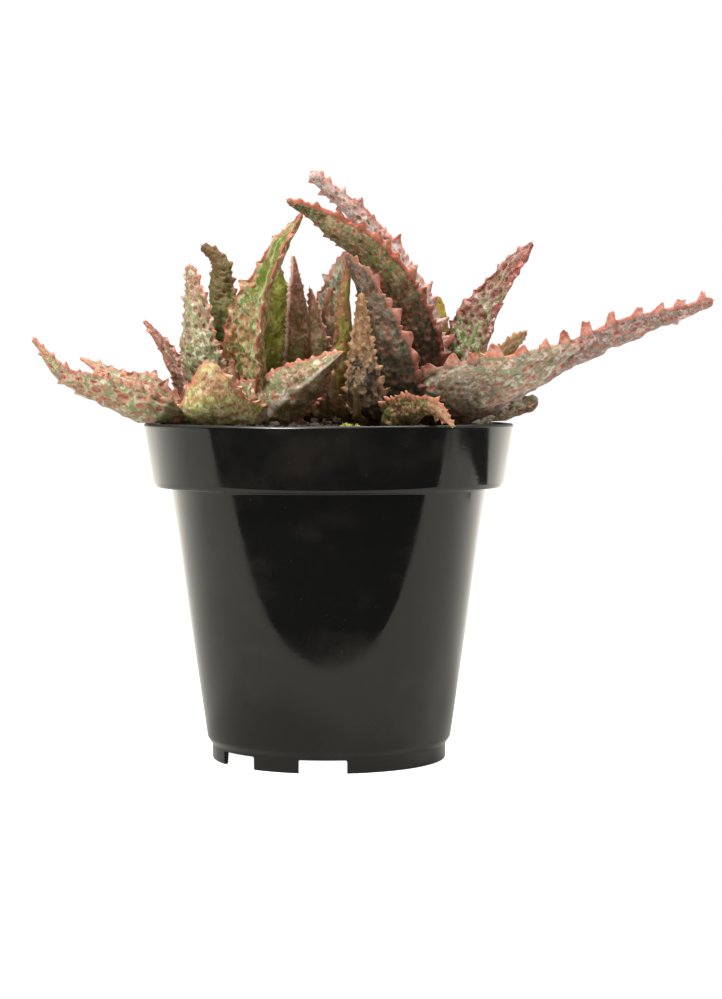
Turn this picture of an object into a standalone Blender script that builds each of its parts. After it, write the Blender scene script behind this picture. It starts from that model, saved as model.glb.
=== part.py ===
"""A clump of toothed, warty aloes in a round black nursery pot.

Millimetres in the tables, metres in the meshes, +Z up. The origin is the middle of
the pot's underside, and -Y is the side that is usually looked at.
"""

import math
import random

import bmesh
import bpy
from mathutils import Vector

MM = 0.001
GAP = 0.3

# The pot: a thin moulded cup with a tall plain band under its lip.
RIM_RADIUS = 55.0
POT_HEIGHT = 100.0
BAND_HEIGHT = 18.0
BODY_TOP_RADIUS = 47.2
BODY_FOOT_RADIUS = 36.4
FOOT_RADIUS = 34.9
FOOT_HEIGHT = 4.5
WALL = 1.3
FLOOR_UNDERSIDE = 4.0
CENTRE_PAD_RADIUS = 8.0
POT_SIDES = 48
NOTCH_WIDTH = 14.0
NOTCH_ANGLES = (-140.0, -93.0, 40.0, 87.0)
DRAIN_SIZE = (9.0, 5.0)
DRAIN_RADIUS = 27.0

# The soil: a plug with a low dome.
SOIL_EDGE = 96.4
SOIL_DOME = 3.2
SOIL_RINGS = (0.25, 0.5, 0.75)

# The leaves: tooth spacing is two stations, so every second station carries a tooth.
STATION_STEP = 2.5
BASE_WIDTH = 4.2
BASE_THICKNESS = 2.2
STEM_CLEARANCE = 0.45
WART_HEIGHT = 0.75
TOOTH_LEAN = 0.5
WIDEST_AT = 0.22
RIM_CLEARANCE = 0.5
SOIL_CLEARANCE = 0.6

COLOURS = {
    "pot_plastic": ((0.02, 0.02, 0.021), 0.22),
    "soil": ((0.09, 0.06, 0.035), 0.95),
    "stem": ((0.30, 0.27, 0.16), 0.7),
    "leaf_green": ((0.36, 0.44, 0.27), 0.5),
    "leaf_blushed": ((0.38, 0.20, 0.16), 0.5),
    "leaf_dry": ((0.50, 0.34, 0.20), 0.7),
}

# Each crown: its axis, the radius of its stem, and the top of its stem.
CROWNS = {
    "edge": (-43.5, -5.0, 3.0, 106.0),
    "left": (-27.0, 2.0, 3.5, 111.0),
    "middle": (-3.0, 12.0, 3.5, 112.0),
    "right": (34.0, 3.0, 4.0, 110.0),
    "front": (14.0, -22.0, 3.0, 104.0),
    "back": (8.0, 36.0, 3.5, 108.0),
    "pup": (-25.0, 36.0, 2.6, 104.0),
}
STEM_FOOT = 86.0
STEM_POINT = 1.0
STEM_TAPER = 0.45
STEM_SIDES = 12

# Each leaf: crown, route from the stem to the tip, widest width, thickness, the way its
# inner face looks, the tooth height, how blunt its tip is, and its finish.
LEAVES = [
    ("edge", [(-42.5, -9, 100.8), (-53, -15.6, 105), (-66, -17, 110), (-77, -19, 115), (-85.5, -20, 124.5)],
     12.0, 4.8, (0.3, 0.6, 0.7), 2.4, 0.05, "leaf_green"),
    ("edge", [(-46.5, -3.6, 103.5), (-54, 0.5, 111.3), (-63, 5, 114), (-75, 8, 119.5)],
     8.0, 3.4, (0.2, 0.3, 0.95), 2.6, 0.05, "leaf_green"),
    ("edge", [(-42.2, -1.4, 104.8), (-45.5, 5.5, 114), (-50, 9, 122.5), (-55, 12, 130)],
     5.5, 2.8, (0.6, -0.6, 0.5), 2.0, 0.05, "leaf_blushed"),
    ("edge", [(-44.5, -1.4, 99.8), (-46.5, 8, 103), (-50, 18, 107), (-53, 26, 110)],
     6.5, 3.4, (0, -0.2, 1), 1.8, 0.1, "leaf_green"),
    ("left", [(-31.2, 3, 106), (-36.2, 2, 115), (-38.5, 1.5, 124), (-39.5, 2, 136), (-41, 3, 147)],
     11.5, 5.0, (0.3, 0.9, 0.2), 2.0, 0.45, "leaf_green"),
    ("left", [(-29.5, 5.8, 107), (-32.2, 12, 117), (-32.5, 15, 127), (-34, 18, 140.5), (-38.5, 20, 153.5)],
     8.5, 4.2, (0.1, -0.95, 0.2), 1.6, 0.15, "leaf_green"),
    ("left", [(-24.5, -2, 105), (-24.5, -10.8, 121), (-22.3, -12, 136.5), (-17, -7.5, 149), (-8.5, -1, 162.5)],
     14.0, 5.5, (-0.5, -0.85, 0.1), 2.8, 0.1, "leaf_green"),
    ("left", [(-27.2, -2, 102), (-29.4, -15, 104.5), (-31.2, -25, 108.5), (-32, -31, 118)],
     20.5, 6.5, (0, 0.6, 0.8), 2.4, 0.08, "leaf_green"),
    ("left", [(-22.5, 0, 101.5), (-15, -10.5, 105.5), (-8, -17.5, 111), (4.3, -25, 119.5)],
     15.0, 4.4, (-0.4, -0.8, 0.4), 2.0, 0.1, "leaf_green"),
    ("left", [(-30, 5.3, 101.5), (-34.5, 17, 104.5), (-40, 29, 108), (-46.5, 39, 113)],
     9.0, 4.4, (0, -0.3, 1), 2.2, 0.08, "leaf_green"),
    ("left", [(-23.6, 4, 102.3), (-21, 12.3, 109), (-21, 24, 118), (-24, 35, 128)],
     9.0, 4.4, (0.2, -0.8, 0.6), 2.2, 0.08, "leaf_blushed"),
    ("middle", [(-5.3, 8, 105), (-7.8, 7, 115), (-8, 7.5, 132), (-11, 7, 151)],
     7.5, 3.8, (0.5, 0.8, 0.2), 1.6, 0.06, "leaf_blushed"),
    ("middle", [(-7, 10.5, 102.5), (-14.5, 9, 113), (-16, 8, 127), (-17, 8, 145)],
     7.0, 3.2, (0.8, -0.5, 0.2), 1.4, 0.1, "leaf_green"),
    ("middle", [(-2.8, 8.3, 111), (-0.8, 4.5, 118), (-2.5, 2.5, 128), (-4.5, 2, 140)],
     4.0, 2.6, (0.1, 0.95, 0.2), 1.2, 0.1, "leaf_blushed"),
    ("middle", [(0.9, 12.5, 110), (1.8, 9, 118), (0.8, 7.5, 128), (2, 7, 140.5)],
     3.6, 2.4, (-0.2, 0.95, 0.2), 1.2, 0.1, "leaf_blushed"),
    ("middle", [(-0.5, 8.5, 104), (3.5, 1, 113), (4, -3, 125), (4.5, -4, 137), (5.5, -4, 148)],
     5.4, 3.4, (-0.6, 0.75, 0.2), 1.2, 0.15, "leaf_green"),
    ("middle", [(-2, 15.5, 108), (-0.5, 17, 120), (0.5, 18, 134), (5.5, 17, 152)],
     8.0, 3.6, (0, -0.95, 0.3), 1.8, 0.1, "leaf_green"),
    ("middle", [(-4.5, 15.4, 105.5), (-12, 24, 111.5), (-17, 34, 117), (-19, 44, 125)],
     8.5, 4.2, (0.4, -0.5, 0.8), 2.2, 0.08, "leaf_green"),
    ("middle", [(-2, 16, 100.5), (-2.5, 25, 102), (-7.5, 34, 103), (-13.5, 41, 106.5)],
     8.5, 4.2, (0, -0.4, 0.9), 2.2, 0.08, "leaf_green"),
    ("middle", [(-2.6, 8, 101.5), (-0.3, 0, 105), (0, -8, 108.5), (-3, -14, 114.5)],
     6.5, 3.2, (0, 0.6, 0.8), 1.6, 0.15, "leaf_blushed"),
    ("right", [(29.8, 2.6, 105), (28.3, 1.5, 124), (22, 0, 137), (13, -4, 149), (2, -8.5, 158), (-12, -13, 165.5)],
     13.0, 5.0, (0.55, 0.65, 0.5), 2.4, 0.06, "leaf_blushed"),
    ("right", [(31, 7.4, 106.5), (28.5, 12, 125), (21, 14, 143.5), (10.5, 14, 159.5), (-5, 12, 175.5)],
     8.8, 4.2, (0.5, 0.5, 0.7), 2.6, 0.4, "leaf_blushed"),
    ("right", [(30, -0.5, 100), (25.5, -8, 106), (19, -15, 122), (13.5, -15, 136), (5.5, -12, 149.5)],
     10.0, 4.2, (0.65, 0.75, 0.1), 2.4, 0.12, "leaf_green"),
    ("right", [(35.6, -1.2, 106.8), (38.6, -12.2, 111.3), (45, -18.5, 112.5), (56, -24, 116), (72, -27, 123)],
     17.5, 6.0, (-0.1, 0.75, 0.65), 2.4, 0.12, "leaf_green"),
    ("right", [(38.8, 3.4, 101), (52, 3, 110), (71, -2, 121), (90, -6, 129), (113.5, -8, 136)],
     11.0, 4.6, (-0.35, 0.6, 0.7), 3.0, 0.25, "leaf_blushed"),
    ("right", [(36.4, 7, 107.5), (41, 10.5, 117.5), (47, 10, 130), (54, 13, 141), (63, 15, 154.5)],
     14.0, 5.0, (-0.5, -0.6, 0.6), 2.2, 0.06, "leaf_blushed"),
    ("right", [(34.4, 8.8, 104), (35.2, 18, 109.3), (35.5, 21, 118), (36.5, 24, 128), (37.5, 25, 136.5)],
     8.0, 3.8, (-0.3, -0.8, 0.5), 2.0, 0.08, "leaf_green"),
    ("right", [(38.2, 2.6, 107.6), (45, 0.5, 113.7), (51, -1.5, 119.5), (58.5, -2.5, 127.5)],
     6.0, 2.8, (-0.3, 0.5, 0.8), 1.6, 0.2, "leaf_dry"),
    ("right", [(37, 7.2, 100), (45, 14.5, 102.3), (55, 18, 105.5), (64, 19, 107)],
     8.5, 4.0, (0, -0.5, 0.85), 1.6, 0.5, "leaf_green"),
    ("right", [(29.4, 2.8, 100.4), (21.5, 10.8, 102.6), (23, 24, 107.5), (27, 33, 114)],
     10.0, 4.6, (-0.1, -0.4, 0.9), 2.4, 0.08, "leaf_green"),
    ("front", [(14, -25.4, 102.5), (11.8, -29, 111), (10.3, -30, 121.5), (9.5, -29, 137.5)],
     7.8, 4.2, (0.1, 0.98, 0.1), 2.2, 0.15, "leaf_dry"),
    ("front", [(17.3, -22.3, 100), (22.5, -31, 104), (29.5, -40.5, 104.8), (36.5, -49, 102.5)],
     9.5, 4.0, (-0.45, 0.7, 0.5), 1.8, 0.3, "leaf_green"),
    ("front", [(10.7, -21.5, 100.5), (4.5, -26, 103), (1.5, -30, 108), (1, -32, 115.5)],
     4.5, 1.8, (0.2, 0.9, 0.3), 0.8, 0.4, "leaf_dry"),
    ("front", [(11.5, -24.8, 99.3), (8, -32, 101.5), (7.5, -35, 105), (7, -36, 111.5)],
     3.5, 1.6, (0.1, 0.9, 0.3), 0.6, 0.4, "leaf_dry"),
    ("back", [(9, 39.5, 104.5), (7.5, 43, 113), (5, 45.5, 121), (0, 47, 131)],
     8.0, 4.0, (0.1, -0.9, 0.4), 2.0, 0.08, "leaf_blushed"),
    ("back", [(11.4, 34.5, 102.5), (20, 39.5, 108), (29, 44, 113), (38, 47, 121)],
     9.5, 4.4, (-0.5, -0.3, 0.8), 2.4, 0.08, "leaf_green"),
    ("back", [(4.5, 36.5, 104), (-4, 42.5, 109), (-13, 48, 114), (-22, 52, 122)],
     9.5, 4.4, (0.5, -0.3, 0.8), 2.4, 0.08, "leaf_green"),
    ("back", [(8, 39.5, 100.5), (9, 50, 105), (10, 58, 109), (11, 66, 116)],
     9.0, 4.2, (0, -0.5, 0.85), 2.4, 0.08, "leaf_blushed"),
    ("back", [(9, 32.5, 106), (12, 29, 118), (13, 27, 128), (14, 25, 138)],
     7.5, 3.8, (0, 0.95, 0.2), 1.8, 0.08, "leaf_green"),
    ("pup", [(-27.2, 37.4, 101.8), (-30, 42.3, 107.3), (-33.5, 46, 114), (-38, 48, 122)],
     7.5, 3.8, (0.5, -0.5, 0.6), 2.0, 0.08, "leaf_blushed"),
    ("pup", [(-22.8, 38, 100.8), (-19.5, 44.5, 103.5), (-18, 50, 107), (-17, 56, 113)],
     8.0, 3.8, (-0.2, -0.4, 0.85), 2.0, 0.08, "leaf_green"),
    ("pup", [(-25.5, 33, 102.3), (-27.5, 30, 107.5), (-29, 28, 113), (-30, 25.5, 119.5)],
     6.0, 3.2, (0.1, 0.9, 0.3), 1.6, 0.1, "leaf_green"),
]


def clear_scene():
    """Starts from an empty scene."""
    for thing in list(bpy.data.objects):
        bpy.data.objects.remove(thing)


def finish(slot):
    """The plain material of one finish, made once."""
    found = bpy.data.materials.get(slot)
    if found:
        return found
    colour, roughness = COLOURS[slot]
    made = bpy.data.materials.new(slot)
    made.use_nodes = True
    shader = made.node_tree.nodes["Principled BSDF"]
    shader.inputs["Base Color"].default_value = (*colour, 1)
    shader.inputs["Roughness"].default_value = roughness
    shader.inputs["Metallic"].default_value = 0.0
    return made


def add_object(name, bm, slot, smooth=True):
    """One object with one finish, in the scene."""
    bmesh.ops.recalc_face_normals(bm, faces=bm.faces)
    mesh = bpy.data.meshes.new(name)
    bm.to_mesh(mesh)
    bm.free()
    thing = bpy.data.objects.new(name, mesh)
    bpy.context.scene.collection.objects.link(thing)
    mesh.materials.append(finish(slot))
    if smooth:
        mesh.shade_smooth()
        mesh.set_sharp_from_angle(angle=math.radians(35))
    return thing


def turned(profile, sides):
    """A closed body turned from (radius, height) points that start and end on the axis."""
    bm = bmesh.new()
    line = [bm.verts.new((r * MM, 0, z * MM)) for r, z in profile]
    edges = [bm.edges.new(pair) for pair in zip(line, line[1:])]
    bmesh.ops.spin(
        bm, geom=line + edges, axis=(0, 0, 1), cent=(0, 0, 0),
        angle=2 * math.pi, steps=sides, use_merge=True,
    )
    bmesh.ops.remove_doubles(bm, verts=bm.verts, dist=0.01 * MM)
    return bm


def cut(body, cutter, name):
    """Takes the cutter away from the body, with the cutter kept as a hidden guide."""
    cutter.hide_render = True
    cutter.display_type = "WIRE"
    modifier = body.modifiers.new(name, "BOOLEAN")
    modifier.operation = "DIFFERENCE"
    modifier.object = cutter


def block(name, size, centre, turn_z):
    """A cutter box, its length along X before it is turned about the pot's axis."""
    bm = bmesh.new()
    bmesh.ops.create_cube(bm, size=1)
    bmesh.ops.scale(bm, verts=bm.verts, vec=Vector(size) * MM)
    thing = add_object(name, bm, "pot_plastic", smooth=False)
    turn = math.radians(turn_z)
    radius, height = centre
    thing.location = (radius * math.cos(turn) * MM, radius * math.sin(turn) * MM, height * MM)
    thing.rotation_euler.z = turn
    return thing


def inner_wall(z):
    """The radius of the pot's inside at a height in its body."""
    share = (z - 6.5) / (POT_HEIGHT - BAND_HEIGHT - 6.5)
    return BODY_FOOT_RADIUS - WALL + share * (BODY_TOP_RADIUS - BODY_FOOT_RADIUS)


def make_pot():
    """The cup, its foot ring and pad, with notches and drain holes cut from its foot."""
    band_foot = POT_HEIGHT - BAND_HEIGHT
    floor_top = FLOOR_UNDERSIDE + WALL
    profile = [
        (0, 0),
        (CENTRE_PAD_RADIUS, 0),
        (CENTRE_PAD_RADIUS + 1, FLOOR_UNDERSIDE),
        (FOOT_RADIUS - WALL - 0.3, FLOOR_UNDERSIDE),
        (FOOT_RADIUS - WALL, 0),
        (FOOT_RADIUS, 0),
        (FOOT_RADIUS + 0.1, FOOT_HEIGHT),
        (BODY_FOOT_RADIUS, 6.5),
        (BODY_TOP_RADIUS, band_foot - 1.6),
        (RIM_RADIUS - 4.1, band_foot - 1.2),
        (RIM_RADIUS - 3.1, band_foot + 0.2),
        (RIM_RADIUS, POT_HEIGHT - 0.7),
        (RIM_RADIUS - 0.4, POT_HEIGHT),
        (RIM_RADIUS - 1.3, POT_HEIGHT),
        (RIM_RADIUS - 1.8, POT_HEIGHT - 0.8),
        (RIM_RADIUS - 4.5, band_foot + 0.8),
        (BODY_TOP_RADIUS - WALL, band_foot - 0.2),
        (inner_wall(8), 8),
        (FOOT_RADIUS - 1, floor_top),
        (0, floor_top),
    ]
    pot = add_object("pot", turned(profile, POT_SIDES), "pot_plastic")
    for number, angle in enumerate(NOTCH_ANGLES):
        notch = block(f"notch_{number}", (6, NOTCH_WIDTH, 2 * 3.9), (FOOT_RADIUS, 0), angle)
        cut(pot, notch, f"notch {number}")
        drain = block(f"drain_{number}", (DRAIN_SIZE[0], DRAIN_SIZE[1], 6), (DRAIN_RADIUS, 5), angle)
        cut(pot, drain, f"drain {number}")
    return pot


def soil_top(x, y):
    """The soil's height at a place: a low dome with a slow roll in it."""
    reach = min(1.0, math.hypot(x, y) / (RIM_RADIUS - 3))
    roll = 0.35 * math.sin(x / 9.0 + 1.0) * math.cos(y / 11.0)
    return SOIL_EDGE + SOIL_DOME * (1 - reach**2) + roll * (1 - reach**4)


def make_soil():
    """The plug of soil, with a plain hole for each stem."""
    band_foot = POT_HEIGHT - BAND_HEIGHT
    edge = RIM_RADIUS - 2.8
    profile = [
        (0, FLOOR_UNDERSIDE + WALL + GAP),
        (FOOT_RADIUS - 1.4, FLOOR_UNDERSIDE + WALL + GAP),
        (inner_wall(8) - GAP, 8 + GAP),
        (BODY_TOP_RADIUS - WALL - GAP, band_foot + 0.1),
        (RIM_RADIUS - 4.5 - GAP, band_foot + 1.1),
        (edge, SOIL_EDGE),
        *[(edge * (1 - share), SOIL_EDGE) for share in SOIL_RINGS],
        (0, SOIL_EDGE),
    ]
    bm = turned(profile, POT_SIDES)
    for vert in bm.verts:
        if vert.co.z > (SOIL_EDGE - 1) * MM:
            vert.co.z = soil_top(vert.co.x / MM, vert.co.y / MM) * MM
    soil = add_object("soil", bm, "soil")
    for name, (x, y, radius, _) in CROWNS.items():
        hole = bmesh.new()
        bmesh.ops.create_cone(
            hole, cap_ends=True, segments=STEM_SIDES,
            radius1=(radius + GAP) * MM, radius2=(radius + GAP) * MM, depth=30 * MM,
        )
        guide = add_object(f"hole_{name}", hole, "soil", smooth=False)
        guide.location = (x * MM, y * MM, (STEM_FOOT - GAP + 15) * MM)
        cut(soil, guide, f"hole {name}")
    return soil


def stem_radius(crown, z):
    """The stem is straight in the soil and tapers to its top."""
    _, _, radius, top = CROWNS[crown]
    share = max(0.0, min(1.0, (z - SOIL_EDGE) / (top - SOIL_EDGE)))
    return radius * (1 - STEM_TAPER * share)


def make_stem(crown):
    """A straight round stem that tapers above the soil to a low point."""
    x, y, _, top = CROWNS[crown]
    heights = (STEM_FOOT, SOIL_EDGE, (SOIL_EDGE + top) / 2, top)
    rings = []
    for z in heights:
        size = stem_radius(crown, z)
        rings.append([
            Vector((
                x + size * math.cos(2 * math.pi * side / STEM_SIDES),
                y + size * math.sin(2 * math.pi * side / STEM_SIDES),
                z,
            ))
            for side in range(STEM_SIDES)
        ])
    tip = Vector((x, y, top + STEM_POINT))
    add_object(f"{crown}_stem", skinned(rings, tip), "stem")


def raised(station, side):
    """Every second point of a leaf's grid stands out: a tooth on a margin, a wart elsewhere."""
    return (station + side) % 2 == 1


def skinned(rings, tip):
    """A closed body over rings of points, with a flat foot and a pointed end.

    Each patch is split between its two low corners, so each raised point stands alone.
    """
    bm = bmesh.new()
    loops = [[bm.verts.new(point * MM) for point in ring] for ring in rings]
    for station, (low, high) in enumerate(zip(loops, loops[1:])):
        for side in range(len(low)):
            after = (side + 1) % len(low)
            corners = (low[side], low[after], high[after], high[side])
            if raised(station, side):
                bm.faces.new((corners[0], corners[1], corners[3]))
                bm.faces.new((corners[1], corners[2], corners[3]))
            else:
                bm.faces.new((corners[0], corners[1], corners[2]))
                bm.faces.new((corners[0], corners[2], corners[3]))
    bm.faces.new(reversed(loops[0]))
    point = bm.verts.new(tip * MM)
    last = loops[-1]
    for side in range(len(last)):
        bm.faces.new((last[side], last[(side + 1) % len(last)], point))
    return bm


def along(route, share):
    """A point on the smooth curve through the route's points (Catmull-Rom)."""
    points = [Vector(p) for p in route]
    points = [2 * points[0] - points[1], *points, 2 * points[-1] - points[-2]]
    place = min(share, 0.999999) * (len(points) - 3)
    k, t = int(place), place - int(place)
    a, b, c, d = points[k:k + 4]
    return 0.5 * (
        2 * b + (c - a) * t + (2 * a - 5 * b + 4 * c - d) * t**2 + (3 * b - a - 3 * c + d) * t**3
    )


def evenly(route, count):
    """Points at equal distances along the route."""
    fine = [along(route, k / 400) for k in range(401)]
    run = [0.0]
    for a, b in zip(fine, fine[1:]):
        run.append(run[-1] + (b - a).length)
    places, k = [], 0
    for station in range(count):
        goal = run[-1] * station / (count - 1)
        while k < 399 and run[k + 1] < goal:
            k += 1
        part = (goal - run[k]) / max(run[k + 1] - run[k], 1e-9)
        places.append(fine[k].lerp(fine[k + 1], min(1.0, part)))
    return places, run[-1]


def swell(share, start, blunt):
    """How wide a leaf is along its length: it opens from its foot and tapers to its tip."""
    full = WIDEST_AT
    if share < full:
        t = share / full
        return start + (1 - start) * (t * (2 - t))
    t = (share - full) / (1 - full)
    return 1 - (1 - blunt) * t**1.45


def section(width, thickness, channel, under, over):
    """(across, depth, kind) points round a leaf: margin, underside, margin, inner face."""
    points = [(-width / 2, 0.0, "margin")]
    for k in range(1, under + 1):
        angle = math.pi * k / (under + 1)
        points.append((-width / 2 * math.cos(angle), -thickness * math.sin(angle) ** 0.8, "under"))
    points.append((width / 2, 0.0, "margin"))
    for k in range(1, over + 1):
        angle = math.pi * k / (over + 1)
        points.append((width / 2 * math.cos(angle), -channel * math.sin(angle), "inner"))
    return points


def snug(rings, crown):
    """Slides the foot of a leaf towards its stem until it almost touches."""
    x, y, _, top = CROWNS[crown]
    low = [p for ring in rings[:3] for p in ring if p.z < top]
    slack = min(math.hypot(p.x - x, p.y - y) - stem_radius(crown, p.z) for p in low)
    if slack <= STEM_CLEARANCE:
        return
    foot = sum(rings[0], Vector()) / len(rings[0])
    inward = Vector((x - foot.x, y - foot.y, 0)).normalized() * (slack - STEM_CLEARANCE)
    reach = max(3, len(rings) // 4)
    for k, ring in enumerate(rings[:reach]):
        for point in ring:
            point += inward * (1 - k / reach)


def seated(point, crown):
    """The point, pushed clear of the stem that carries it, the soil and the pot's lip."""
    x, y, _, top = CROWNS[crown]
    out = Vector((point.x - x, point.y - y, 0))
    clear = stem_radius(crown, point.z) + STEM_CLEARANCE
    if point.z < top + STEM_POINT and 0 < out.length < clear:
        out = out.normalized() * clear
        point = Vector((x + out.x, y + out.y, point.z))
    reach = math.hypot(point.x, point.y)
    if reach < RIM_RADIUS - 5:
        point.z = max(point.z, soil_top(point.x, point.y) + SOIL_CLEARANCE)
    elif reach < RIM_RADIUS + 4:
        point.z = max(point.z, POT_HEIGHT + RIM_CLEARANCE)
    return point


def make_leaf(name, leaf, seed):
    """A tapering leaf with a rounded underside, a hollowed inner face, teeth and warts."""
    crown, route, width, thickness, face, tooth, blunt, slot = leaf
    chance = random.Random(seed)
    under, over = (5, 3) if width >= 9 else (3, 3) if width >= 5 else (3, 1)
    _, length = evenly(route, 3)
    count = max(9, 2 * round(length / STATION_STEP / 2) + 1)
    spine, _ = evenly(route, count)
    rings = []
    for k, place in enumerate(spine):
        share = k / (count - 1)
        ahead = spine[min(k + 1, count - 1)] - spine[max(k - 1, 0)]
        tangent = ahead.normalized()
        normal = Vector(face) - tangent * Vector(face).dot(tangent)
        normal.normalize()
        across = tangent.cross(normal)
        wide = max(1.4, width * swell(share, min(0.9, BASE_WIDTH / width), blunt))
        deep = max(1.0, thickness * swell(share, min(0.9, BASE_THICKNESS / thickness), max(blunt, 0.2)))
        channel = 0.30 * deep * math.sin(math.pi * min(1, share * 1.3)) if share < 0.77 else 0.0
        bare_end = k in (0, count - 1)
        ring = []
        for side, (u, v, kind) in enumerate(section(wide, deep, channel, under, over)):
            forward = 0.0
            if raised(k, side) and not bare_end:
                if kind == "margin":
                    u += math.copysign(tooth * min(1.0, wide / 6) * chance.uniform(0.75, 1.15), u)
                    forward = TOOTH_LEAN
                else:
                    height = WART_HEIGHT * min(1.0, wide / 7) * chance.uniform(0.8, 1.2)
                    away = Vector((0.7 * u, v)).normalized() if kind == "under" else Vector((0, 1))
                    u += away.x * height
                    v += away.y * height
            ring.append(place + tangent * forward + across * u + normal * v)
        rings.append(ring)
    snug(rings, crown)
    rings = [[seated(point, crown) for point in ring] for ring in rings]
    end = spine[-1] + (spine[-1] - spine[-2]).normalized() * max(0.8, 0.3 * wide)
    return add_object(name, skinned(rings, end), slot)


def main():
    clear_scene()
    make_pot()
    make_soil()
    for crown in CROWNS:
        make_stem(crown)
    counts = dict.fromkeys(CROWNS, 0)
    for number, leaf in enumerate(LEAVES):
        counts[leaf[0]] += 1
        make_leaf(f"{leaf[0]}_leaf_{counts[leaf[0]]}", leaf, seed=number + 1)


main()
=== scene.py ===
"""The looks of a potted aloe: a clump of toothed, warty rosettes in a glossy black pot.

Laid out as a Blender add-on and run as a script. Lengths in the tables are millimetres,
+Z is up, and -Y is the side that is usually looked at.
"""
import math
import random

import bpy
import numpy as np
from bpy.props import FloatProperty, FloatVectorProperty, IntProperty, PointerProperty
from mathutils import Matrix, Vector


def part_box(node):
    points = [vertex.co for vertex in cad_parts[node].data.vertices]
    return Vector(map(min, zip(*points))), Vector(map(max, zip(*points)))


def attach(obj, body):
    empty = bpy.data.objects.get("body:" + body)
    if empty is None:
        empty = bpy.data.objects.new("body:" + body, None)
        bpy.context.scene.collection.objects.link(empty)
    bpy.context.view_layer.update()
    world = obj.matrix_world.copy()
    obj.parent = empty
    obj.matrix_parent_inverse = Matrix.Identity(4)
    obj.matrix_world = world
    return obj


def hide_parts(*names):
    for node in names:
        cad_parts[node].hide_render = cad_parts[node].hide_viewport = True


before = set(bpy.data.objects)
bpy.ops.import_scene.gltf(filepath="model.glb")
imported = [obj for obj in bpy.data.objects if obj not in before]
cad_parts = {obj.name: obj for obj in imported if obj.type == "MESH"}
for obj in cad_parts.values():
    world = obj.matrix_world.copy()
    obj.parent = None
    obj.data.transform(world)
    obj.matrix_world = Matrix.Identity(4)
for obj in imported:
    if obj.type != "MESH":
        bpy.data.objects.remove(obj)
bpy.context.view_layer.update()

bl_info = {
    "name": "Potted Aloe",
    "version": (1, 0, 0),
    "blender": (4, 5, 0),
    "location": "3D View > Sidebar > Aloe",
    "description": "Dresses the packed potted aloe with fine leaves, soil, moss and a glossy pot",
    "category": "Object",
}

MM = 0.001
NOISE_CELLS = 32
RIM_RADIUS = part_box("pot")[1].x / MM
POT_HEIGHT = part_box("pot")[1].z / MM

# The pot, as in the part's source.
BAND_HEIGHT = 18.0
BODY_TOP_RADIUS = 47.2
BODY_FOOT_RADIUS = 36.4
FOOT_RADIUS = 34.9
FOOT_HEIGHT = 4.5
WALL = 1.3
FLOOR_UNDERSIDE = 4.0
FLOOR_TOP = FLOOR_UNDERSIDE + WALL
BAND_FOOT = POT_HEIGHT - BAND_HEIGHT
BODY_FOOT = 6.5
CENTRE_PAD_RADIUS = 8.0
INNER_FOOT = 8
NOTCH_SIZE = (6, 14.0, 2 * 3.9)
NOTCH_ANGLES = (-140.0, -93.0, 40.0, 87.0)
DRAIN_SIZE = (9.0, 5.0, 6)
DRAIN_RADIUS = 27.0
DRAIN_HEIGHT = 5
CUT_BEVEL = 0.5
CORNER_RADIUS = 0.5
SMOOTH_ANGLE = 32

# The heights between which the lip turns matt.
LIP_FOOT = 99.0
LIP_TOP = 99.6

# The fine seam that the mould leaves on the band: where it is, its width and how far it stands out.
SEAM_PLACE = (36, -41)
SEAM_WIDTH = 0.5
SEAM_HEIGHT = 0.12

# The soil, as in the part's source.
SOIL_EDGE = 96.4
SOIL_DOME = 3.2
SOIL_SIDES = 180

# The leaves and stems, as in the part's source.
BASE_WIDTH = 4.2
STEM_CLEARANCE = 0.45
WIDEST_AT = 0.22
STEM_FOOT = 86.0
STEM_POINT = 1.0
STEM_TAPER = 0.45
STEM_SIDES = 36
STEM_RING_GAP = 0.7

# Each crown of leaves: the place, radius and top of its stem.
CROWNS = {
    "edge": (-43.5, -5.0, 3.0, 106.0),
    "left": (-27.0, 2.0, 3.5, 111.0),
    "middle": (-3.0, 12.0, 3.5, 112.0),
    "right": (34.0, 3.0, 4.0, 110.0),
    "front": (14.0, -22.0, 3.0, 104.0),
    "back": (8.0, 36.0, 3.5, 108.0),
    "pup": (-25.0, 36.0, 2.6, 104.0),
}

# Round each stem stand dry leaf bases, which start at this height, and small young leaves.
BASES_ROUND_STEM = 9
BASES_FOOT = 98.5
YOUNG_ROUND_STEM = 6

# Leaves that hardly show have their points further apart.
HIDDEN_CROWNS = ("back", "pup", "base", "young")
HIDDEN_SPACING = 1.3

# Crumbs: the least and the greatest size, and how much of it they stand above the soil.
CRUMB_LEAST = 0.9
CRUMB_MOST = 3.4
CRUMB_LIFT = 0.15

# Moss cushions: x, y, radius and height above the soil. A cushion's fronds are counted by its radius.
FRONDS_PER_MM = 45
MOSS = (
    (5.0, -47.0, 4.0, 2.6), (8.0, -44.5, 3.0, 2.2), (44.0, -24.0, 3.5, 1.6), (38.0, -31.0, 3.0, 1.6),
    (-20.5, -44.5, 2.6, 1.6), (-38.0, 20.0, 4.0, 1.2), (20.0, 22.0, 4.0, 1.2), (24.0, -34.0, 2.5, 1.2),
    (-6.0, 46.0, 3.5, 1.2), (45.0, 20.0, 3.0, 1.0),
)

# The camera, in metres and millimetres of lens, and the point it looks at.
CAMERA_PLACE = (0, -0.717, 0.112)
CAMERA_AIM = (0.0096, 0, 0.077)
CAMERA_LENS = 86.5
LIGHTS_AIM = (0, 0, 0.1)

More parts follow.
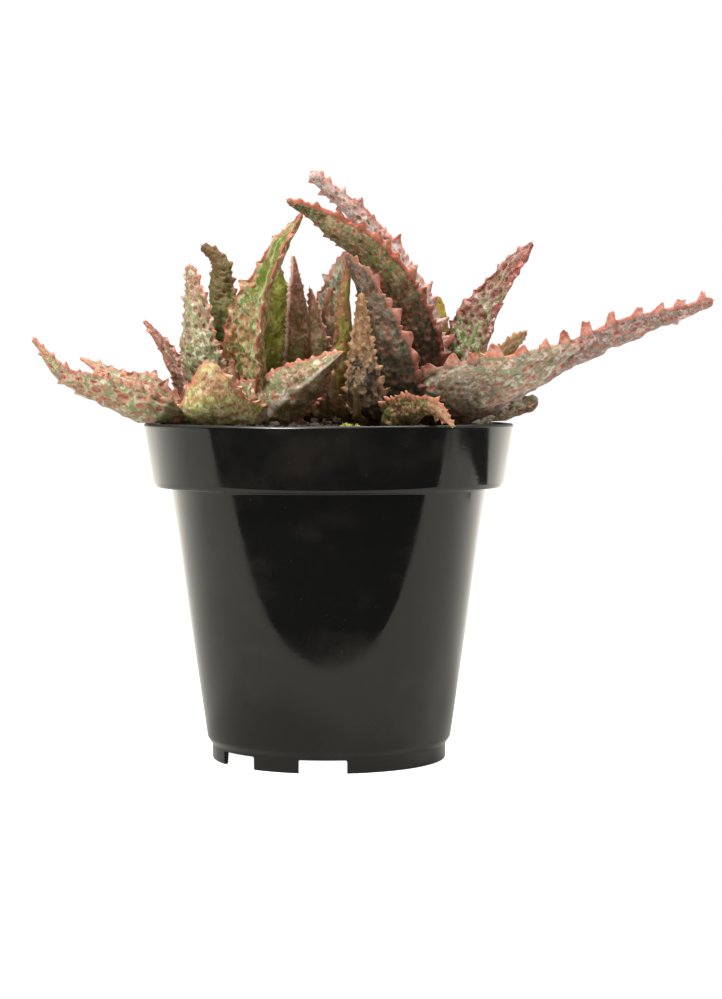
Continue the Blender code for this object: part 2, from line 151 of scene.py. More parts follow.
# The floor's side in metres. On it lies a dark card that only gloss sees: its corners in
# millimetres, but for the two where the table's front ends it, and its height over the floor.
FLOOR_SIZE = 6.0
DARK_CORNERS = ((-3000, -3000), (3000, -3000), (3000, 260), (400, 260), (445, 40))
DARK_LIFT = 0.5

# Lights: place in metres, size in metres, power in watts, and whether gloss sees it.
LIGHTS = (
    ("key", (-0.42, -0.50, 0.95), 0.2, 15.5, True),
    ("fill", (0.7, -0.6, 0.5), 0.6, 2.5, False),
    ("top", (0.25, 0.15, 1.0), 0.25, 10.0, True),
    ("low", (0.15, -0.9, 0.12), 0.4, 1.5, False),
)

# Each leaf: its route from stem to tip, width, thickness, the way its inner face looks,
# how blunt its tip is, and its dress from the table below.
LEAVES = {
    "edge_leaf_1": (
        [(-42.5, -9, 100.8), (-53, -15.6, 105), (-66, -17, 110), (-77, -19, 115), (-85.5, -20, 124.8)],
        13.4, 5.4, (0.3, 0.7, 0.6), 0.03, "reaching",
    ),
    "edge_leaf_2": (
        [(-46.5, -3.6, 103.5), (-54, 0.5, 111.3), (-63, 5, 114), (-75, 8, 119.5)],
        9.4, 4.2, (0.2, -0.6, 0.75), 0.05, "reaching",
    ),
    "edge_leaf_3": (
        [(-42.2, -1.4, 104.8), (-43.2, 4.5, 113), (-48.5, 8.5, 122), (-55.3, 12, 130.5)],
        8.0, 3.4, (0.6, -0.6, 0.5), 0.05, "thorned",
    ),
    "edge_leaf_4": (
        [(-44.5, -1.4, 99.8), (-46.5, 8, 103), (-50, 18, 107), (-53, 26, 110)],
        6.5, 3.4, (0, -0.2, 1), 0.1, "sage",
    ),
    "left_leaf_1": (
        [(-31.2, 3, 106), (-36.2, 2, 115), (-38.5, 1.5, 124), (-39.5, 2, 136), (-41, 3, 147)],
        12.2, 5.6, (0.3, 0.9, 0.2), 0.17, "pale",
    ),
    "left_leaf_2": (
        [(-29.5, 5.8, 107), (-32.2, 12, 117), (-31.4, 15, 128), (-32.4, 18, 141), (-34.0, 19.5, 149),
         (-38.6, 20, 154)],
        9.5, 4.6, (0.1, 0.95, 0.2), 0.2, "ridged",
    ),
    "left_leaf_3": (
        [(-25.5, -2, 103), (-26, -10.8, 119), (-23.3, -12, 136.5), (-17, -7.5, 149), (-8.5, -1, 162.5)],
        19.5, 7.0, (-0.84, -0.56, 0.1), 0.08, "grass",
    ),
    "left_leaf_4": (
        [(-28, -3, 101), (-31.5, -15, 104), (-33.5, -25, 108), (-34, -31, 118)],
        22.0, 7.0, (0, 0.6, 0.8), 0.08, "olive",
    ),
    "left_leaf_5": (
        [(-22.5, -1, 102), (-16.5, -11, 105.2), (-8.6, -18.5, 111.2), (4.3, -25, 120.5)],
        22.0, 6.0, (-0.1, 1.0, 0.1), 0.05, "keeled",
    ),
    "left_leaf_6": (
        [(-30, 5.3, 101.5), (-34.5, 17, 104.5), (-40, 29, 108), (-46.5, 39, 113)],
        9.0, 4.4, (0, -0.3, 1), 0.08, "sage",
    ),
    "left_leaf_7": (
        [(-23.6, 4, 102.3), (-21, 12.3, 109), (-21, 24, 118), (-24, 35, 128)],
        9.0, 4.4, (0.2, -0.8, 0.6), 0.08, "rosy",
    ),
    "middle_leaf_1": (
        [(-6, 8, 102), (-9, 7, 115), (-9.2, 7.5, 132), (-11.3, 7, 150)],
        10.0, 4.2, (-0.5, 0.8, 0.2), 0.06, "maroon",
    ),
    "middle_leaf_2": (
        [(-7, 10.5, 102.5), (-13.5, 9, 113), (-15, 8, 127), (-15.5, 8, 147.5)],
        9.8, 3.6, (0.3, -0.9, 0.2), 0.2, "smooth",
    ),
    "middle_leaf_3": (
        [(-2.8, 8.3, 104), (-1.8, 4.5, 114), (-3.8, 2.5, 128), (-6, 2, 140)],
        7.0, 3.6, (0.1, 0.95, 0.2), 0.1, "russet",
    ),
    "middle_leaf_4": (
        [(0.9, 12.5, 104), (-0.2, 9, 114), (-1, 7.5, 128), (0.2, 7, 140.5)],
        7.0, 3.4, (-0.2, 0.95, 0.2), 0.1, "russet",
    ),
    "middle_leaf_5": (
        [(-0.5, 8.5, 104), (3.5, 1, 113), (4, -3, 125), (4.5, -4, 137), (5.5, -4, 148)],
        7.4, 3.8, (-0.6, 0.75, 0.2), 0.15, "streaked",
    ),
    "middle_leaf_6": (
        [(-2, 15.5, 104), (-1.5, 17, 120), (-0.8, 18, 134), (5.2, 17, 152)],
        12.0, 4.0, (0, -0.95, 0.3), 0.1, "misty",
    ),
    "middle_leaf_7": (
        [(-4.5, 15.4, 105.5), (-12, 24, 111.5), (-17, 34, 117), (-19, 44, 125)],
        8.5, 4.2, (0.4, -0.5, 0.8), 0.08, "sage",
    ),
    "middle_leaf_8": (
        [(-2, 16, 100.5), (-2.5, 25, 102), (-7.5, 34, 103), (-13.5, 41, 106.5)],
        8.5, 4.2, (0, -0.4, 0.9), 0.08, "olive",
    ),
    "middle_leaf_9": (
        [(-2.6, 8, 101.5), (-0.3, 0, 105), (0, -8, 108.5), (-3, -14, 114.5)],
        6.5, 3.2, (0, 0.6, 0.8), 0.15, "russet",
    ),
    "right_leaf_1": (
        [(29.8, 2.6, 105), (28.3, 1.5, 124), (22, 0, 137), (13, -4, 149), (2, -8.5, 158),
         (-12, -13, 165.5)],
        14.6, 5.4, (0.55, 0.65, 0.5), 0.06, "dusky",
    ),
    "right_leaf_2": (
        [(31, 7.4, 106.5), (30.2, 12, 125), (22.7, 14, 144.5), (11.3, 14, 160), (-5, 12, 175.5)],
        9.6, 5.0, (0.25, 0.9, 0.35), 0.25, "shell",
    ),
    "right_leaf_3": (
        [(30, -0.5, 100), (24, -8, 106), (18.3, -15, 122), (13.3, -15, 136), (5.5, -12, 149.5)],
        14.0, 4.8, (0.65, 0.75, 0.1), 0.12, "slate",
    ),
    "right_leaf_4": (
        [(30.5, -3.5, 106.5), (37, -12.5, 110.5), (45, -18.5, 112.5), (57, -24, 116.5), (72, -27, 123)],
        21.0, 7.5, (-0.1, 0.75, 0.65), 0.06, "bloom",
    ),
    "right_leaf_5": (
        [(38.8, 3.4, 101), (52, 3, 110), (71, -2, 121), (90, -6, 129), (113.5, -8, 136)],
        11.2, 5.0, (-0.35, 0.6, 0.7), 0.25, "arching",
    ),
    "right_leaf_6": (
        [(36.4, 7, 107.5), (39.2, 10.5, 117.5), (43.5, 10, 130), (50.5, 12.5, 141.5), (62, 15, 154.5)],
        18.5, 6.0, (-0.5, -0.6, 0.6), 0.06, "wine",
    ),
    "right_leaf_7": (
        [(34.4, 8.8, 104), (35.2, 18, 109.3), (35, 21, 118), (34.6, 24, 128), (33.4, 25, 138.5)],
        8.0, 3.6, (-0.3, -0.8, 0.5), 0.3, "sunny",
    ),
    "right_leaf_8": (
        [(38.2, 2.6, 107.6), (45, 0.5, 114.5), (51, -1.5, 121), (58.5, -2.5, 127.5)],
        10.0, 3.6, (-0.3, 0.5, 0.8), 0.2, "straw",
    ),
    "right_leaf_9": (
        [(37, 7.2, 100), (45, 14.5, 102.3), (55, 18, 105.5), (64, 19, 107)],
        10.0, 5.6, (0, -0.5, 0.85), 0.5, "shaded",
    ),
    "right_leaf_10": (
        [(29.4, 2.8, 100.4), (21.5, 10.8, 102.6), (23, 24, 107.5), (27, 33, 114)],
        10.0, 4.6, (-0.1, -0.4, 0.9), 0.08, "sage",
    ),
    "front_leaf_1": (
        [(13.4, -25.4, 100), (10.5, -29, 110), (9, -30, 121.5), (9.3, -29, 137.5)],
        9.8, 5.0, (0.1, 0.98, 0.1), 0.12, "bark",
    ),
    "front_leaf_2": (
        [(17.3, -22.3, 101), (21.5, -31, 105.5), (28, -41, 106), (34.8, -50.2, 100.4)],
        11.5, 6.4, (-0.3, 0.8, 0.45), 0.06, "bristled",
    ),
    "front_leaf_3": (
        [(10.7, -21.5, 100.5), (4.5, -26, 103), (1.5, -30, 108), (1, -32, 115.5)],
        3.6, 1.6, (0.2, 0.9, 0.3), 0.2, "withered",
    ),
    "front_leaf_4": (
        [(11.5, -24.8, 99.3), (8, -32, 101.5), (7.5, -35, 105), (7, -36, 111.5)],
        3.0, 1.4, (0.1, 0.9, 0.3), 0.2, "withered",
    ),
    "back_leaf_1": (
        [(9, 39.5, 104.5), (7.5, 43, 113), (5, 45.5, 121), (0, 47, 131)],
        8.0, 4.0, (0.1, -0.9, 0.4), 0.08, "rosy",
    ),
    "back_leaf_2": (
        [(11.4, 34.5, 102.5), (20, 39.5, 108), (29, 44, 113), (38, 47, 121)],
        9.5, 4.4, (-0.5, -0.3, 0.8), 0.08, "sage",
    ),
    "back_leaf_3": (
        [(4.5, 36.5, 104), (-4, 42.5, 109), (-13, 48, 114), (-22, 52, 122)],
        9.5, 4.4, (0.5, -0.3, 0.8), 0.08, "olive",
    ),
    "back_leaf_4": (
        [(8, 39.5, 100.5), (9, 50, 105), (10, 58, 109), (11, 66, 116)],
        9.0, 4.2, (0, -0.5, 0.85), 0.08, "rosy",
    ),
    "back_leaf_5": (
        [(9, 32.5, 106), (12, 29, 118), (13, 27, 128), (14, 25, 138)],
        7.5, 3.8, (0, 0.95, 0.2), 0.08, "sage",
    ),
    "pup_leaf_1": (
        [(-27.2, 37.4, 101.8), (-30, 42.3, 107.3), (-33.5, 46, 114), (-38, 48, 122)],
        7.5, 3.8, (0.5, -0.5, 0.6), 0.08, "russet",
    ),
    "pup_leaf_2": (
        [(-22.8, 38, 100.8), (-19.5, 44.5, 103.5), (-18, 50, 107), (-17, 56, 113)],
        8.0, 3.8, (-0.2, -0.4, 0.85), 0.08, "sage",
    ),
    "pup_leaf_3": (
        [(-25.5, 33, 102.3), (-27.5, 30, 107.5), (-29, 28, 113), (-30, 25.5, 119.5)],
        6.0, 3.2, (0.1, 0.9, 0.3), 0.1, "grass",
    ),
}

# Each skin: flesh, paler bloom (also the painted highlights), deeper flesh (also the painted shade), green
# patches, blush, warts, margin and teeth, points.
SKINS = {
    "sage": ("#787450", "#aaa382", "#4c4626", "#5f7236", "#86604a", "#96503e", "#ac6653", "#743c2e"),
    "misty": ("#848c72", "#c2c6b0", "#525432", "#6c8046", "#8c6856", "#9c584a", "#bc7464", "#743c2e"),
    "bloom": ("#7c7866", "#b2ab98", "#504834", "#707a50", "#8c6450", "#925042", "#c8745e", "#8a4a38"),
    "keeled": ("#828862", "#dcc8b2", "#44300e", "#586c28", "#966a50", "#a45a42", "#bc6956", "#7a4032"),
    "reaching": ("#7e8060", "#bebca0", "#4c4224", "#667e40", "#90604a", "#a85646", "#c0705c", "#6e3a2c"),
    "pale": ("#8a906c", "#d6d8bc", "#46482a", "#7a8e54", "#905642", "#8a4e3a", "#ae6854", "#7c4232"),
    "grass": ("#7c8452", "#c6cc9c", "#3a3810", "#4a5e04", "#704826", "#a05c3e", "#aa5848", "#7c4234"),
    "smooth": ("#666822", "#949848", "#3e3e10", "#627614", "#74502e", "#805a3c", "#945a44", "#65402e"),
    "sunny": ("#8c8a30", "#b8b45c", "#5c5818", "#8a9a28", "#a4743c", "#906a3c", "#ac6a48", "#70482e"),
    "streaked": ("#6c6c26", "#a0a054", "#423c10", "#66801c", "#7c4c34", "#985a42", "#86493a", "#6a3828"),
    "olive": ("#b0aa6c", "#dedab0", "#6a682c", "#98a84a", "#a46c50", "#a26048", "#c46a58", "#84483a"),
    "arching": ("#76685e", "#b29c92", "#40342c", "#62645a", "#92604e", "#984c3c", "#c8745e", "#8c4834"),
    "rosy": ("#746248", "#b0947e", "#4a3a24", "#606c3a", "#884e3e", "#984c3c", "#b66654", "#7c3c2c"),
    "thorned": ("#745a46", "#c8b09c", "#38221a", "#5c5634", "#603224", "#723628", "#924c38", "#6a3426"),
    "wine": ("#6a5844", "#bcae9e", "#2a140c", "#4e7014", "#6c3226", "#74322a", "#a4584e", "#6a3026"),
    "shell": ("#a0968c", "#cec4be", "#74665a", "#a4a696", "#b07c6c", "#9c5846", "#b86a5a", "#904836"),
    "dusky": ("#665f3e", "#a28c6c", "#120a04", "#566c34", "#582e20", "#8c4838", "#aa5040", "#6a3222"),
    "maroon": ("#66522e", "#a88c72", "#362610", "#667424", "#6e3e2c", "#9c685a", "#d4aa9c", "#945e4e"),
    "slate": ("#3a3a2a", "#70695a", "#12110a", "#384832", "#523424", "#7a4c3a", "#a86250", "#6a3426"),
    "russet": ("#706444", "#b09c80", "#3a3016", "#66742a", "#7e4c38", "#a06250", "#be7666", "#743e30"),
    "bark": ("#2c2418", "#a68e70", "#0c0804", "#2e3022", "#6a4426", "#8e6a48", "#9a7050", "#74482e"),
    "shaded": ("#363c1c", "#606240", "#16180a", "#40561e", "#523828", "#664834", "#6c4434", "#4c3020"),
    "bristled": ("#4c4826", "#9c8c68", "#221c0c", "#526426", "#744e34", "#a06a4c", "#c4705a", "#945240"),
    "ridged": ("#3e4212", "#646230", "#1a1c08", "#425612", "#5a3a20", "#664228", "#845038", "#603428"),
    "straw": ("#8c7850", "#c8b48c", "#5c4a2a", "#707a3e", "#98684a", "#98683e", "#b88464", "#7a4c34"),
    # Withered: dry browns, made darker still to paint the shade between the leaf bases as well.
    "withered": ("#3c2c16", "#6a5230", "#1c140a", "#383416", "#48301a", "#543c24", "#64482c", "#3c2612"),
}

# What every dress has unless it says otherwise. Lengths are millimetres, and left is the first margin.
#   slot: the material slot
#   wart: spacing, length, breadth and height; bare_from: the share past which the inner face has none
#   tooth: spacing and height; sides: how high they are on the left and right margins, against that
#   flat, stout, uneven: how blunt the teeth are, how broad, and how much they differ
#   foot, taper, waist: how wide the foot is, how late the leaf tapers, and how its lower half narrows
#   keel, channel: how sharp the underside is, and how hollow the inner face
#   lumps, band, turn: how lumpy it is, how thick and red its margins, and how its face turns by the tip
#   blush, flank: how red it is at the foot and at the tip, and how much redder its underside
#   foot_shade, shadow: how much painted shade darkens its foot, and its left half
#   dry, gilt: how long its dry tip is, and how dry its left margin
#   midrib, streak: how pale the middle of its inner face is, and how strong the painted highlight along its
#       keel
PLAIN_DRESS = {
    "slot": "leaf_green", "wart": (3.0, 1.8, 1.2, 0.6), "tooth": (4.6, 2.4), "flat": 0.25,
    "blush": (0.15, 0.6), "foot_shade": 0.35, "dry": 0.0, "taper": 1.45, "foot": 0.5, "band": 1.0,
    "bare_from": 2.0, "lumps": 1.2, "keel": 0.8, "channel": 0.36, "flank": 0.0, "streak": 0.0,
    "midrib": 0.4, "turn": (0.0, 0.0, 0.0), "sides": (1.0, 1.0), "uneven": 1.0, "stout": 1.0,
    "waist": 0.0, "shadow": 0.0, "gilt": 0.0,
}
DRESSES = {
    "sage": {},
    "bloom": {
        "wart": (2.7, 2.4, 1.3, 0.6), "tooth": (5.4, 3.6), "flat": 0.9, "taper": 1.5, "foot": 0.85,
        "blush": (-0.05, 0.4), "foot_shade": 0.1, "sides": (0.5, 1.0), "uneven": 0.35, "stout": 0.72,
        "gilt": 0.9, "band": 0.75,
    },
    "misty": {
        "wart": (2.8, 1.7, 1.2, 0.7), "tooth": (3.8, 2.0), "blush": (0.0, 0.4), "lumps": 1.5,
    },
    "sunny": {
        "wart": (4.4, 1.3, 1.0, 0.25), "tooth": (4.0, 0.7), "band": 0.3, "blush": (-0.3, 0.5),
    },
    "thorned": {
        "slot": "leaf_blushed", "wart": (2.8, 1.6, 1.2, 0.7), "tooth": (3.4, 2.4), "blush": (0.4, 0.6),
        "lumps": 1.6,
    },
    "keeled": {
        "wart": (2.7, 1.5, 1.0, 0.6), "tooth": (3.4, 1.4), "flat": 0.3, "taper": 1.1, "foot": 0.8,
        "blush": (0.0, 0.4), "keel": 1.4, "foot_shade": 0.1, "streak": 0.75, "shadow": 0.65,
        "lumps": 2.4,
    },
    "reaching": {
        "wart": (3.5, 3.0, 1.7, 1.0), "tooth": (4.2, 3.0), "blush": (0.0, 0.6), "lumps": 1.8,
        "taper": 1.1, "stout": 0.65, "band": 0.8,
    },
    "pale": {
        "wart": (2.8, 1.9, 1.4, 0.9), "tooth": (3.3, 1.9), "taper": 1.4, "band": 0.8,
        "blush": (-0.15, 0.75), "lumps": 1.9,
    },
    "grass": {
        "wart": (3.4, 2.5, 1.9, 0.8), "tooth": (6.0, 3.0), "flat": 0.0, "taper": 1.3,
        "blush": (0.0, 0.1), "band": 1.1, "bare_from": 0.5, "lumps": 1.7, "channel": 0.8, "flank": 0.6,
        "midrib": 0.35,
    },
    "smooth": {
        "wart": (4.4, 1.3, 1.0, 0.25), "tooth": (4.0, 0.7), "band": 0.3, "blush": (0.25, 0.0),
        "taper": 3.0,
    },
    "streaked": {
        "wart": (3.4, 1.5, 1.0, 0.4), "tooth": (3.6, 1.1), "blush": (0.3, 0.7),
    },
    "ridged": {
        "wart": (2.5, 1.3, 2.0, 0.8), "tooth": (3.6, 1.5), "blush": (-1.3, 1.1), "taper": 2.2,
        "band": 0.6, "lumps": 1.6,
    },
    "olive": {
        "wart": (2.6, 1.9, 1.4, 0.6), "tooth": (5.0, 2.8), "foot": 0.75, "taper": 2.2,
        "blush": (-0.7, 0.9), "band": 0.9, "lumps": 2.0, "foot_shade": 0.2,
    },
    "arching": {
        "slot": "leaf_blushed", "wart": (3.0, 2.0, 1.2, 0.8), "tooth": (6.2, 3.9), "flat": 1.0,
        "blush": (0.1, 0.35), "taper": 1.9, "band": 0.8, "sides": (0.55, 1.0), "uneven": 0.3,
        "stout": 0.62, "lumps": 2.0,
    },
    "rosy": {
        "slot": "leaf_blushed", "wart": (2.8, 1.7, 1.2, 0.8), "tooth": (4.4, 2.6),
        "blush": (0.15, 0.55), "lumps": 1.3,
    },
    "wine": {
        "slot": "leaf_blushed", "wart": (3.5, 3.3, 2.4, 1.3), "tooth": (3.4, 1.9), "blush": (-1.1, 1.2),
        "foot_shade": 0.1, "lumps": 2.8, "band": 0.65, "taper": 1.2, "foot": 0.8,
    },
    "shell": {
        "slot": "leaf_blushed", "wart": (3.4, 2.4, 1.7, 0.9), "tooth": (4.4, 2.9), "flat": 0.2,
        "blush": (0.1, 0.4), "taper": 1.6, "foot_shade": 0.3, "lumps": 2.6, "stout": 0.8,
    },
    "dusky": {
        "slot": "leaf_blushed", "wart": (3.8, 1.6, 1.3, 0.6), "tooth": (4.6, 2.6), "blush": (0.6, 0.1),
        "foot_shade": 1.9, "taper": 2.1, "flat": 0.35, "sides": (1.0, 0.6), "band": 1.5, "waist": 0.3,
        "turn": (-0.2, 0.2, -0.1),
    },
    "maroon": {
        "slot": "leaf_blushed", "wart": (2.8, 1.7, 1.3, 0.8), "tooth": (1.8, 1.1), "blush": (-1.2, 1.3),
        "foot_shade": 0.1, "band": 1.3, "lumps": 2.2, "stout": 0.7,
    },
    "slate": {
        "wart": (3.0, 2.0, 1.5, 0.9), "tooth": (4.4, 2.7), "flat": 0.7, "taper": 1.9,
        "blush": (0.0, 0.6), "foot_shade": 0.9, "foot": 0.9, "lumps": 1.5, "sides": (1.0, 0.7),
    },
    "russet": {
        "slot": "leaf_blushed", "wart": (2.6, 1.5, 1.2, 0.8), "tooth": (3.0, 1.6), "blush": (-0.8, 0.9),
        "foot_shade": 0.2, "band": 1.1, "lumps": 1.8,
    },
    "bark": {
        "slot": "leaf_dry", "wart": (2.6, 1.7, 1.5, 0.8), "tooth": (2.6, 1.5), "flat": 0.7, "dry": 2.5,
        "foot_shade": 1.2, "blush": (-1.0, 1.8), "taper": 1.0, "lumps": 2.2, "stout": 0.8, "foot": 0.85,
    },
    "shaded": {
        "wart": (2.4, 1.6, 1.3, 0.9), "tooth": (2.6, 2.0), "foot_shade": 0.9, "lumps": 2.6,
        "stout": 0.8, "band": 0.7,
    },
    "bristled": {
        "wart": (2.3, 1.3, 1.2, 1.2), "tooth": (1.9, 2.7), "flat": 0.0, "foot_shade": 0.3, "dry": 1.6,
        "blush": (-0.6, 1.0), "lumps": 2.6, "stout": 0.5, "taper": 1.1, "foot": 0.8, "band": 0.7,
    },
    "straw": {
        "slot": "leaf_dry", "wart": (2.2, 1.4, 1.1, 0.9), "tooth": (2.1, 2.4), "foot_shade": 0.3,
        "blush": (0.0, 0.3), "lumps": 2.4, "stout": 0.8, "gilt": 0.8,
    },
    "withered": {
        "slot": "leaf_dry", "wart": (2.0, 1.0, 0.8, 0.3), "tooth": (2.6, 0.7), "dry": 2.0,
        "foot_shade": 0.7, "band": 0.3,
    },
    "young": {
        "wart": (2.4, 1.3, 1.0, 0.6), "tooth": (2.6, 1.2), "foot_shade": 0.5,
    },
}


def linear(colour):
    """An sRGB hex colour as linear red, green, blue and alpha."""
    parts = [int(colour[k:k + 2], 16) / 255 for k in (1, 3, 5)]
    return (*[p / 12.92 if p <= 0.04045 else ((p + 0.055) / 1.055) ** 2.4 for p in parts], 1.0)


def colour_property(name, description, colour):
    """A colour that a user may change."""
    return FloatVectorProperty(
        name=name, description=description, subtype="COLOR", size=4, default=linear(colour),
    )


def length_property(name, description, millimetres, **limits):
    """A length that a user may change."""
    return FloatProperty(
        name=name, description=description, default=millimetres * MM, unit="LENGTH", **limits,
    )


class PotSettings(bpy.types.PropertyGroup):
    sides: IntProperty(name="Sides", description="Facets round the pot", default=192, min=48)
    lip_wave: length_property("Lip wave", "How far the thin lip waves out of true", 0.25)
    colour: colour_property("Plastic", "Colour of the moulded plastic", "#0a0a09")


class SoilSettings(bpy.types.PropertyGroup):
    crumbs: IntProperty(name="Crumbs", description="Loose crumbs on the soil", default=900, min=0)
    colour: colour_property("Soil", "Colour of the damp potting mix", "#33271a")
    moss: colour_property("Moss", "Colour of the moss", "#8a8a32")


class LeafSettings(bpy.types.PropertyGroup):
    spacing: length_property("Grid spacing", "Distance between a leaf's points", 0.36, min=0.2 * MM)
    teeth: FloatProperty(name="Teeth", description="Height of the teeth, against the table", default=1.0)
    warts: FloatProperty(name="Warts", description="Height of the warts, against the table", default=1.0)


class StageSettings(bpy.types.PropertyGroup):
    floor: colour_property("Floor", "Colour of the pale floor", "#cfcfcf")
    table_front: length_property(
        "Table front", "How far in front of the pot its gloss sees the pale floor", 113,
    )


SETTINGS = {
    "aloe_pot": PotSettings,
    "aloe_soil": SoilSettings,
    "aloe_leaf": LeafSettings,
    "aloe_stage": StageSettings,
}


# Meshes and materials.

def feed(tree, node, inputs):
    """Gives a node's inputs their values, or links them to the outputs that feed them."""
    for socket, value in inputs.items():
        if isinstance(value, bpy.types.NodeSocket):
            tree.links.new(value, node.inputs[socket])
        else:
            node.inputs[socket].default_value = value


def add_node(tree, kind, inputs=None, stops=None, **settings):
    """Adds a shader node with its settings and its inputs, by name or number.

    Mix has its share at 0 and its two colours at 6 and 7, Math has its values at 0 to 2, and
    MapRange has its value at 0, the old range at 1 and 2, and the new range at 3 and 4.
    """
    made = tree.nodes.new("ShaderNode" + kind)
    for name, value in settings.items():
        setattr(made, name, value)
    if stops:
        ramp = made.color_ramp
        while len(ramp.elements) < len(stops):
            ramp.elements.new(0.5)
        for element, (place, colour) in zip(ramp.elements, stops):
            element.position = place
            element.color = colour
    feed(tree, made, inputs or {})
    return made


def start_material(name):
    """An empty material with its shader, and the object's own coordinates."""
    made = bpy.data.materials.new(name)
    made.use_nodes = True
    tree = made.node_tree
    shader = tree.nodes["Principled BSDF"]
    place = add_node(tree, "TexCoord").outputs["Object"]
    return made, tree, shader, place


def grey(value):
    """A neutral colour for a ramp stop that is read as a number."""
    return (value, value, value, 1.0)


def select_only(piece=None):
    """Deselects everything, and then selects the piece that is worked on next, if there is one."""
    if bpy.context.object and bpy.context.object.mode != "OBJECT":
        bpy.ops.object.mode_set(mode="OBJECT")
    bpy.ops.object.select_all(action="DESELECT")
    if piece:
        bpy.context.view_layer.objects.active = piece
        piece.select_set(True)


def points_of(piece):
    """A piece's points in millimetres."""
    return np.array([vert.co for vert in piece.data.vertices]) / MM


def move_points(piece, points):
    """Puts a piece's points at new places, in millimetres."""
    piece.data.vertices.foreach_set("co", (points * MM).ravel())
    piece.data.update()


def mesh_object(name, points, faces):
    """A smooth object from points in millimetres and its faces."""
    mesh = bpy.data.meshes.new(name)
    mesh.from_pydata((np.asarray(points) * MM).tolist(), [], faces)
    mesh.update()
    mesh.shade_smooth()
    made = bpy.data.objects.new(name, mesh)
    bpy.context.scene.collection.objects.link(made)
    return made


def dress(piece, material, slot, *nodes):
    """Gives a piece its material, rides it on the body, and stands it for its nodes. The slot is not used.
    """
    piece.data.materials.clear()
    piece.data.materials.append(material)
    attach(piece, "root")
    if nodes:
        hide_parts(*nodes)


def drift(points, size, seed):
    """Smooth noise from -1 to 1 at points, with lumps of a given size."""
    table = np.random.default_rng(seed).uniform(-1, 1, (NOISE_CELLS,) * 3)
    place = np.asarray(points) / size + 1000.0
    cell = np.floor(place).astype(int)
    part = place - cell
    part = part * part * (3 - 2 * part)
    total = 0.0
    for step in np.ndindex(2, 2, 2):
        weight = np.prod(np.where(step, part, 1 - part), axis=-1)
        corner = (cell + step) % NOISE_CELLS
        total = total + weight * table[corner[..., 0], corner[..., 1], corner[..., 2]]
    return total


# The leaves.

def along(route, shares):
    """Points on the smooth curve through the route's points."""
    points = np.array(route, dtype=float)
    points = np.vstack([2 * points[0] - points[1], points, 2 * points[-1] - points[-2]])
    place = np.minimum(shares, 0.999999) * (len(points) - 3)
    k = place.astype(int)
    t = (place - k)[:, None]
    a, b, c, d = points[k], points[k + 1], points[k + 2], points[k + 3]
    return 0.5 * (2 * b + (c - a) * t + (2 * a - 5 * b + 4 * c - d) * t**2 + (3 * b - a - 3 * c + d) * t**3)


def evenly(route, count):
    """Points at equal distances along the route, and its length."""
    fine = along(route, np.linspace(0, 1, 401))
    run = np.concatenate([[0.0], np.cumsum(np.linalg.norm(np.diff(fine, axis=0), axis=1))])
    goals = np.linspace(0, run[-1], count)
    return np.stack([np.interp(goals, run, fine[:, axis]) for axis in range(3)], axis=1), run[-1]


def unit(vectors):
    """The vectors at length one."""
    return vectors / np.maximum(np.linalg.norm(vectors, axis=-1, keepdims=True), 1e-9)


def swell(share, start, blunt, taper):
    """How wide a leaf is along its length: it opens from its foot and tapers to its tip."""
    t = share / WIDEST_AT
    low = start + (1 - start) * (t * (2 - t))
    t = np.maximum(0, (share - WIDEST_AT) / (1 - WIDEST_AT))
    return np.where(share < WIDEST_AT, low, 1 - (1 - blunt) * t**taper)


def stem_radius(crown, z):
    """The stem is straight in the soil and tapers to its top."""
    _, _, radius, top = CROWNS[crown]
    return radius * (1 - STEM_TAPER * np.clip((z - SOIL_EDGE) / (top - SOIL_EDGE), 0, 1))


def soil_top(x, y):
    """The soil's height at a place: a low dome with a slow roll in it."""
    reach = np.minimum(1.0, np.hypot(x, y) / (RIM_RADIUS - 3))
    roll = 0.35 * np.sin(x / 9.0 + 1.0) * np.cos(y / 11.0)
    return SOIL_EDGE + SOIL_DOME * (1 - reach**2) + roll * (1 - reach**4)


def seat(points, crown, first):
    """Slides the foot of a leaf to its stem, then pushes it clear of stem, soil and lip."""
    x, y, _, top = CROWNS[crown]
    stations = len(points)
    low = points[:first].reshape(-1, 3)
    low = low[low[:, 2] < top]
    slack = (np.hypot(low[:, 0] - x, low[:, 1] - y) - stem_radius(crown, low[:, 2])).min()
    if slack > STEM_CLEARANCE:
        foot = points[0].mean(axis=0)
        inward = unit(np.array([x - foot[0], y - foot[1], 0.0])) * (slack - STEM_CLEARANCE)
        weight = np.clip(1 - np.arange(stations) / (stations / 4), 0, 1)
        points += weight[:, None, None] * inward
    out = points[..., :2] - (x, y)
    reach = np.linalg.norm(out, axis=-1)
    clear = stem_radius(crown, points[..., 2]) * 0.8
    close = (points[..., 2] < top + STEM_POINT) & (reach < clear)
    scale = np.where(close, clear / np.maximum(reach, 1e-6), 1.0)
    points[..., :2] = (x, y) + out * scale[..., None]
    reach = np.hypot(points[..., 0], points[..., 1])
    ground = soil_top(points[..., 0], points[..., 1]) - 0.3
    floor = np.where(reach < RIM_RADIUS - 5, ground, np.where(reach < RIM_RADIUS + 4, POT_HEIGHT + 0.2, 0))
    points[..., 2] = np.maximum(points[..., 2], floor)
    return points


def leaf_normals(points):
    """Outward directions on a grid of stations and places round a leaf."""
    down = np.gradient(points, axis=0)
    wrapped = np.concatenate([points[:, -1:], points, points[:, :1]], axis=1)
    round_ = np.gradient(wrapped, axis=1)[:, 1:-1]
    return unit(np.cross(round_, down))


